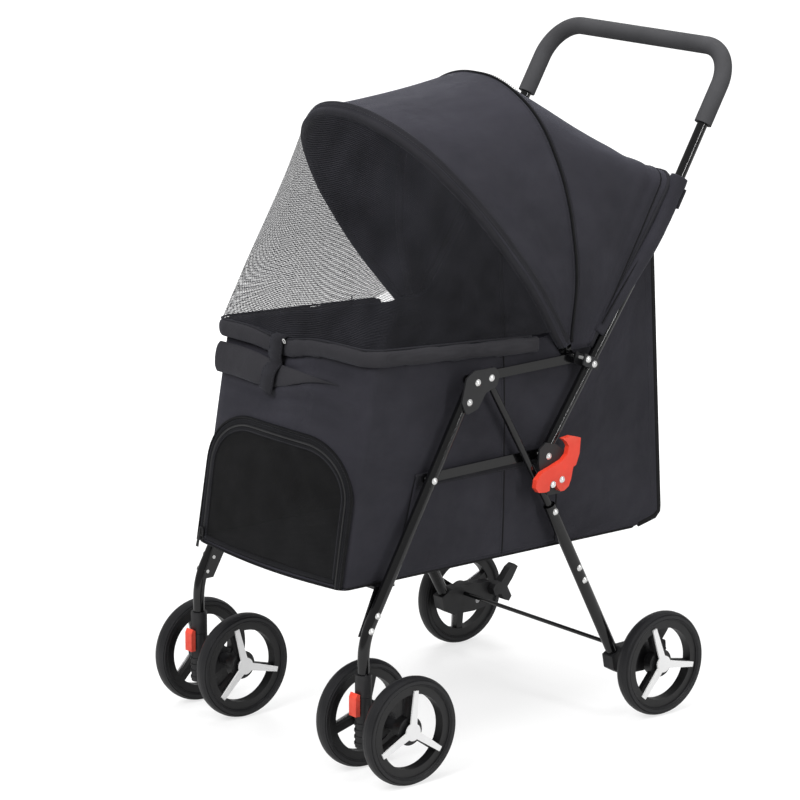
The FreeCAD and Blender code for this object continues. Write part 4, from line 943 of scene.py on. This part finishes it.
def rear_creases(s, v):
    """Folds that run from the handle corners into the cloth."""
    near = min(math.dist((s * 1.6, v), (0.36, 1.0)), math.dist((s * 1.6, v), (1.24, 1.0)))
    turn = math.atan2(v - 1.0, (s - 0.5))
    fold = 0.0026 * math.sin(turn * 17 + 2.2 * ripple(s * 3, v, 2.0, 3.0)) * max(0.0, 1 - near / 0.5)
    tuck = -0.0050 * math.exp(-((v - 0.90) / 0.035) ** 2) * max(0.0, abs(s - 0.5) - 0.2) / 0.3
    return fold + tuck + 0.0012 * ripple(s * 4, v, 3.0, 12.0)


rear_rows = spread(mid_back, rear_edge, 41, -0.0045, rear_creases)
rear_panel = sheet_mesh("canopy_rear", rear_rows, canopy_cloth, 0.0012)
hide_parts("canopy_rear_panel")
rear_tilt = mid_tilt + math.radians(20)
rear_fold = Vector((0.0, math.sin(rear_tilt), math.cos(rear_tilt)))
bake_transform(rear_panel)
edge_out = [(p[0] * 1.2, 0.35, 0.35) if abs(p[0]) > 0.15 else (0, 0.2, 1.0) for p in rear_edge]
rear_binding = strip("rear_binding", rear_edge, unit(np.array(edge_out)), ellipse(0.0042, 0.0030, 12),
                     binding_cloth, "front_frame")
for half_name, part in (("right", slice(2, 34)), ("left", slice(67, 99))):
    zip_line = rear_rows[-4][part]
    zip_out = np.array([[math.copysign(1.0, p[0]), 0.0, 0.25] for p in zip_line])
    strip("rear_zip_" + half_name, zip_line, zip_out, ellipse(0.0013, 0.0016, 8), piping_cloth, "front_frame")
declare(rear_rows)

net_low = (rim_high.z - 0.016 - bow_axis.z) / math.sin(front_tilt)
net_top = bow_line(front_bow_long, front_tilt, 0.0040, net_low, across_hood)[0]
net_rim = np.array([(x, y - drawn_out(x, y), rim_high.z - 0.0030 - roll_dip(x, y))
                    for x, y in evenly(hoop(roll_x, rim_high.y, roll_front, rim_turn), across_hood)])
net_rows = spread(net_top, net_rim, 33, -0.004, lambda s, v: 0.0012 * ripple(s * 5, v, 2.0, 21.0))
front_net = sheet_mesh("canopy_front", net_rows, hood_net, 0.0)
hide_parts("canopy_front_mesh")
net_hem = strip("front_net_hem", net_rim, (0, 0, 1), ellipse(0.0024, 0.0014, 10), binding_cloth, None)
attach(front_net, "front_bow")
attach(net_hem, "front_bow")
for soft in (front_net, net_hem):
    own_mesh(soft)
declare(net_rows)

# ------------------------ sleeves on the handle tubes
bend = np.array([0.0, handle_axis.y + 0.130, handle_axis.z + 0.160])
low_way = np.array([0.0, 0.6306, 0.7761])
high_way = np.array([0.0, 0.5103, 0.8600])


def cuff(share):
    """Narrow at the foot, full higher up, with a few soft gathers near the top."""
    gather = 0.05 * math.sin(share * 41) * max(0.0, share - 0.6) / 0.4
    return 0.70 + 0.40 * min(1.0, share / 0.55) ** 0.8 + gather + 0.03 * ripple(share * 9, 0.0, 2.0, 5.0)


for side, half_name in ((1, "right"), (-1, "left")):
    outward = (float(side), 0.0, 0.0)
    middle = bend + np.array([side * tube_x, 0, 0])
    line = rounded([middle - low_way * 0.165, middle, middle + high_way * 0.084], [0.4], 12)
    line = evenly(line, 80)
    strip("handle_sleeve_" + half_name, line, outward, ellipse(0.0118, 0.0096, 18, 0.85), canopy_cloth,
          "handle_frame", swell=cuff)
    sewn_line = np.array([p + np.cross((1.0, 0, 0), high_way) * 0.0085 for p in line[4:-3]])
    strip("sleeve_seam_" + half_name, sewn_line + np.array([side * 0.0068, 0, 0]), outward,
          ellipse(0.0009, 0.0010, 8), piping_cloth, "handle_frame")
    back = np.cross(high_way, (1.0, 0, 0)) * 0.0125
    tab_line = evenly([line[-14] + back, line[-5] + back], 8)
    strip("sleeve_tab_" + half_name, tab_line, outward, ellipse(0.0034, 0.0095, 14, 0.75), binding_cloth,
          "handle_frame")

# ------------------------ tyre beads
for name in [n for n in frame["nodes"] if n.startswith("tyre_")]:
    low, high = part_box(name)
    centre = (low + high) / 2
    radius = (high.z - low.z) / 2
    body = name.replace("tyre_", "wheel_")
    for face in (1, -1):
        for k, (share, sunk) in enumerate(((0.905, 0.0022), (0.865, 0.0006))):
            x = centre.x + face * ((high.x - low.x) / 2 - sunk)
            turn = [(x, centre.y + radius * share * math.cos(a), centre.z + radius * share * math.sin(a))
                    for a in np.linspace(0, full_turn, 97)[:-1]]
            where = "out" if face > 0 else "in"
            strip(f"{name}_bead_{where}_{k}", turn, (1, 0, 0), ellipse(0.0007, 0.0007, 6), finishes["tyre"],
                  body, closed=True)

# ------------------------ stage, light and camera
floor = bpy.data.meshes.new("floor")
corners = [(-30, -30, 0), (30, -30, 0), (30, 30, 0), (-30, 30, 0)]
floor.from_pydata(corners, [], [(0, 1, 2, 3)])
paper, tree, shader, place = start_material("paper")
# The paper glows more away from the object, so that it stays white where the lamps don't reach.
spot = add(tree, "ShaderNodeMapping", {"Vector": place, "Scale": (0.42, 0.42, 0.42)})
round_spot = add(tree, "ShaderNodeTexGradient", {"Vector": spot.outputs["Vector"]},
                 gradient_type="SPHERICAL")
glow = remap(tree, round_spot.outputs["Fac"], (0.0, 0.7), (1.0, 0.70), interpolation_type="SMOOTHSTEP")
looked_at = add(tree, "ShaderNodeLightPath").outputs["Is Camera Ray"]
shown = remap(tree, looked_at, (0.0, 1.0), (0.3, 1.0))
patches = blotches(tree, place, 3.0, 0.0, 1.0)
feed(tree, shader, {
    "Base Color": between(tree, patches, (0.30,) * 3, (0.32,) * 3),
    "Roughness": 0.7, "Specular IOR Level": 0.1,
    "Emission Strength": product(tree, glow, shown),
    "Emission Color": (1, 1, 1, 1),
})
floor.materials.append(paper)
ground = bpy.data.objects.new("ground", floor)
scene.collection.objects.link(ground)

world = bpy.data.worlds.new("studio")
scene.world = world
world.use_nodes = True
sky_tree = world.node_tree
for node in list(sky_tree.nodes):
    sky_tree.nodes.remove(node)
ray = add(sky_tree, "ShaderNodeLightPath").outputs


def sky(strength):
    return add(sky_tree, "ShaderNodeBackground", {"Color": (1, 1, 1, 1), "Strength": strength}).outputs[0]


lit = add(sky_tree, "ShaderNodeMixShader", {0: ray["Is Glossy Ray"], 1: sky(0.50), 2: sky(0.32)}).outputs[0]
seen = add(sky_tree, "ShaderNodeMixShader", {0: ray["Is Camera Ray"], 1: lit, 2: sky(1.0)}).outputs[0]
add(sky_tree, "ShaderNodeOutputWorld", {"Surface": seen})

aim = Vector((0.0, -0.05, 0.45))


def softbox(name, place, wide, tall, power, mirrored_too=False):
    """A rectangular lamp aimed at the object; mirrored_too lets glossy pieces show it."""
    lamp = bpy.data.lights.new(name, "AREA")
    lamp.shape = "RECTANGLE"
    lamp.size = wide
    lamp.size_y = tall
    lamp.energy = power
    obj = bpy.data.objects.new(name, lamp)
    obj.location = place
    obj.rotation_euler = (aim - Vector(place)).to_track_quat("-Z", "Y").to_euler()
    obj.visible_glossy = mirrored_too
    scene.collection.objects.link(obj)


softbox("key", (0.6, -2.6, 2.6), 1.6, 1.6, 95)
softbox("side", (3.2, 0.4, 1.7), 0.16, 2.4, 42, True)
softbox("top", (0.0, 0.3, 3.2), 2.4, 2.4, 70)
softbox("rim", (-2.2, 1.6, 1.8), 1.0, 1.8, 45)

camera = bpy.data.cameras.new("camera")
camera.lens = 166.24
camera.sensor_width = 36.0
camera.shift_x = 0.034
camera.shift_y = 0.013
camera.clip_start = 0.05
camera.clip_end = 200.0
view = bpy.data.objects.new("camera", camera)
view.location = (3.8748, -3.2244, 1.6362)
looks_at = Vector((0.0, -0.15345, 0.45))
view.rotation_euler = (looks_at - view.location).to_track_quat("-Z", "Y").to_euler()
scene.collection.objects.link(view)
scene.camera = view
scene.view_settings.view_transform = "Standard"
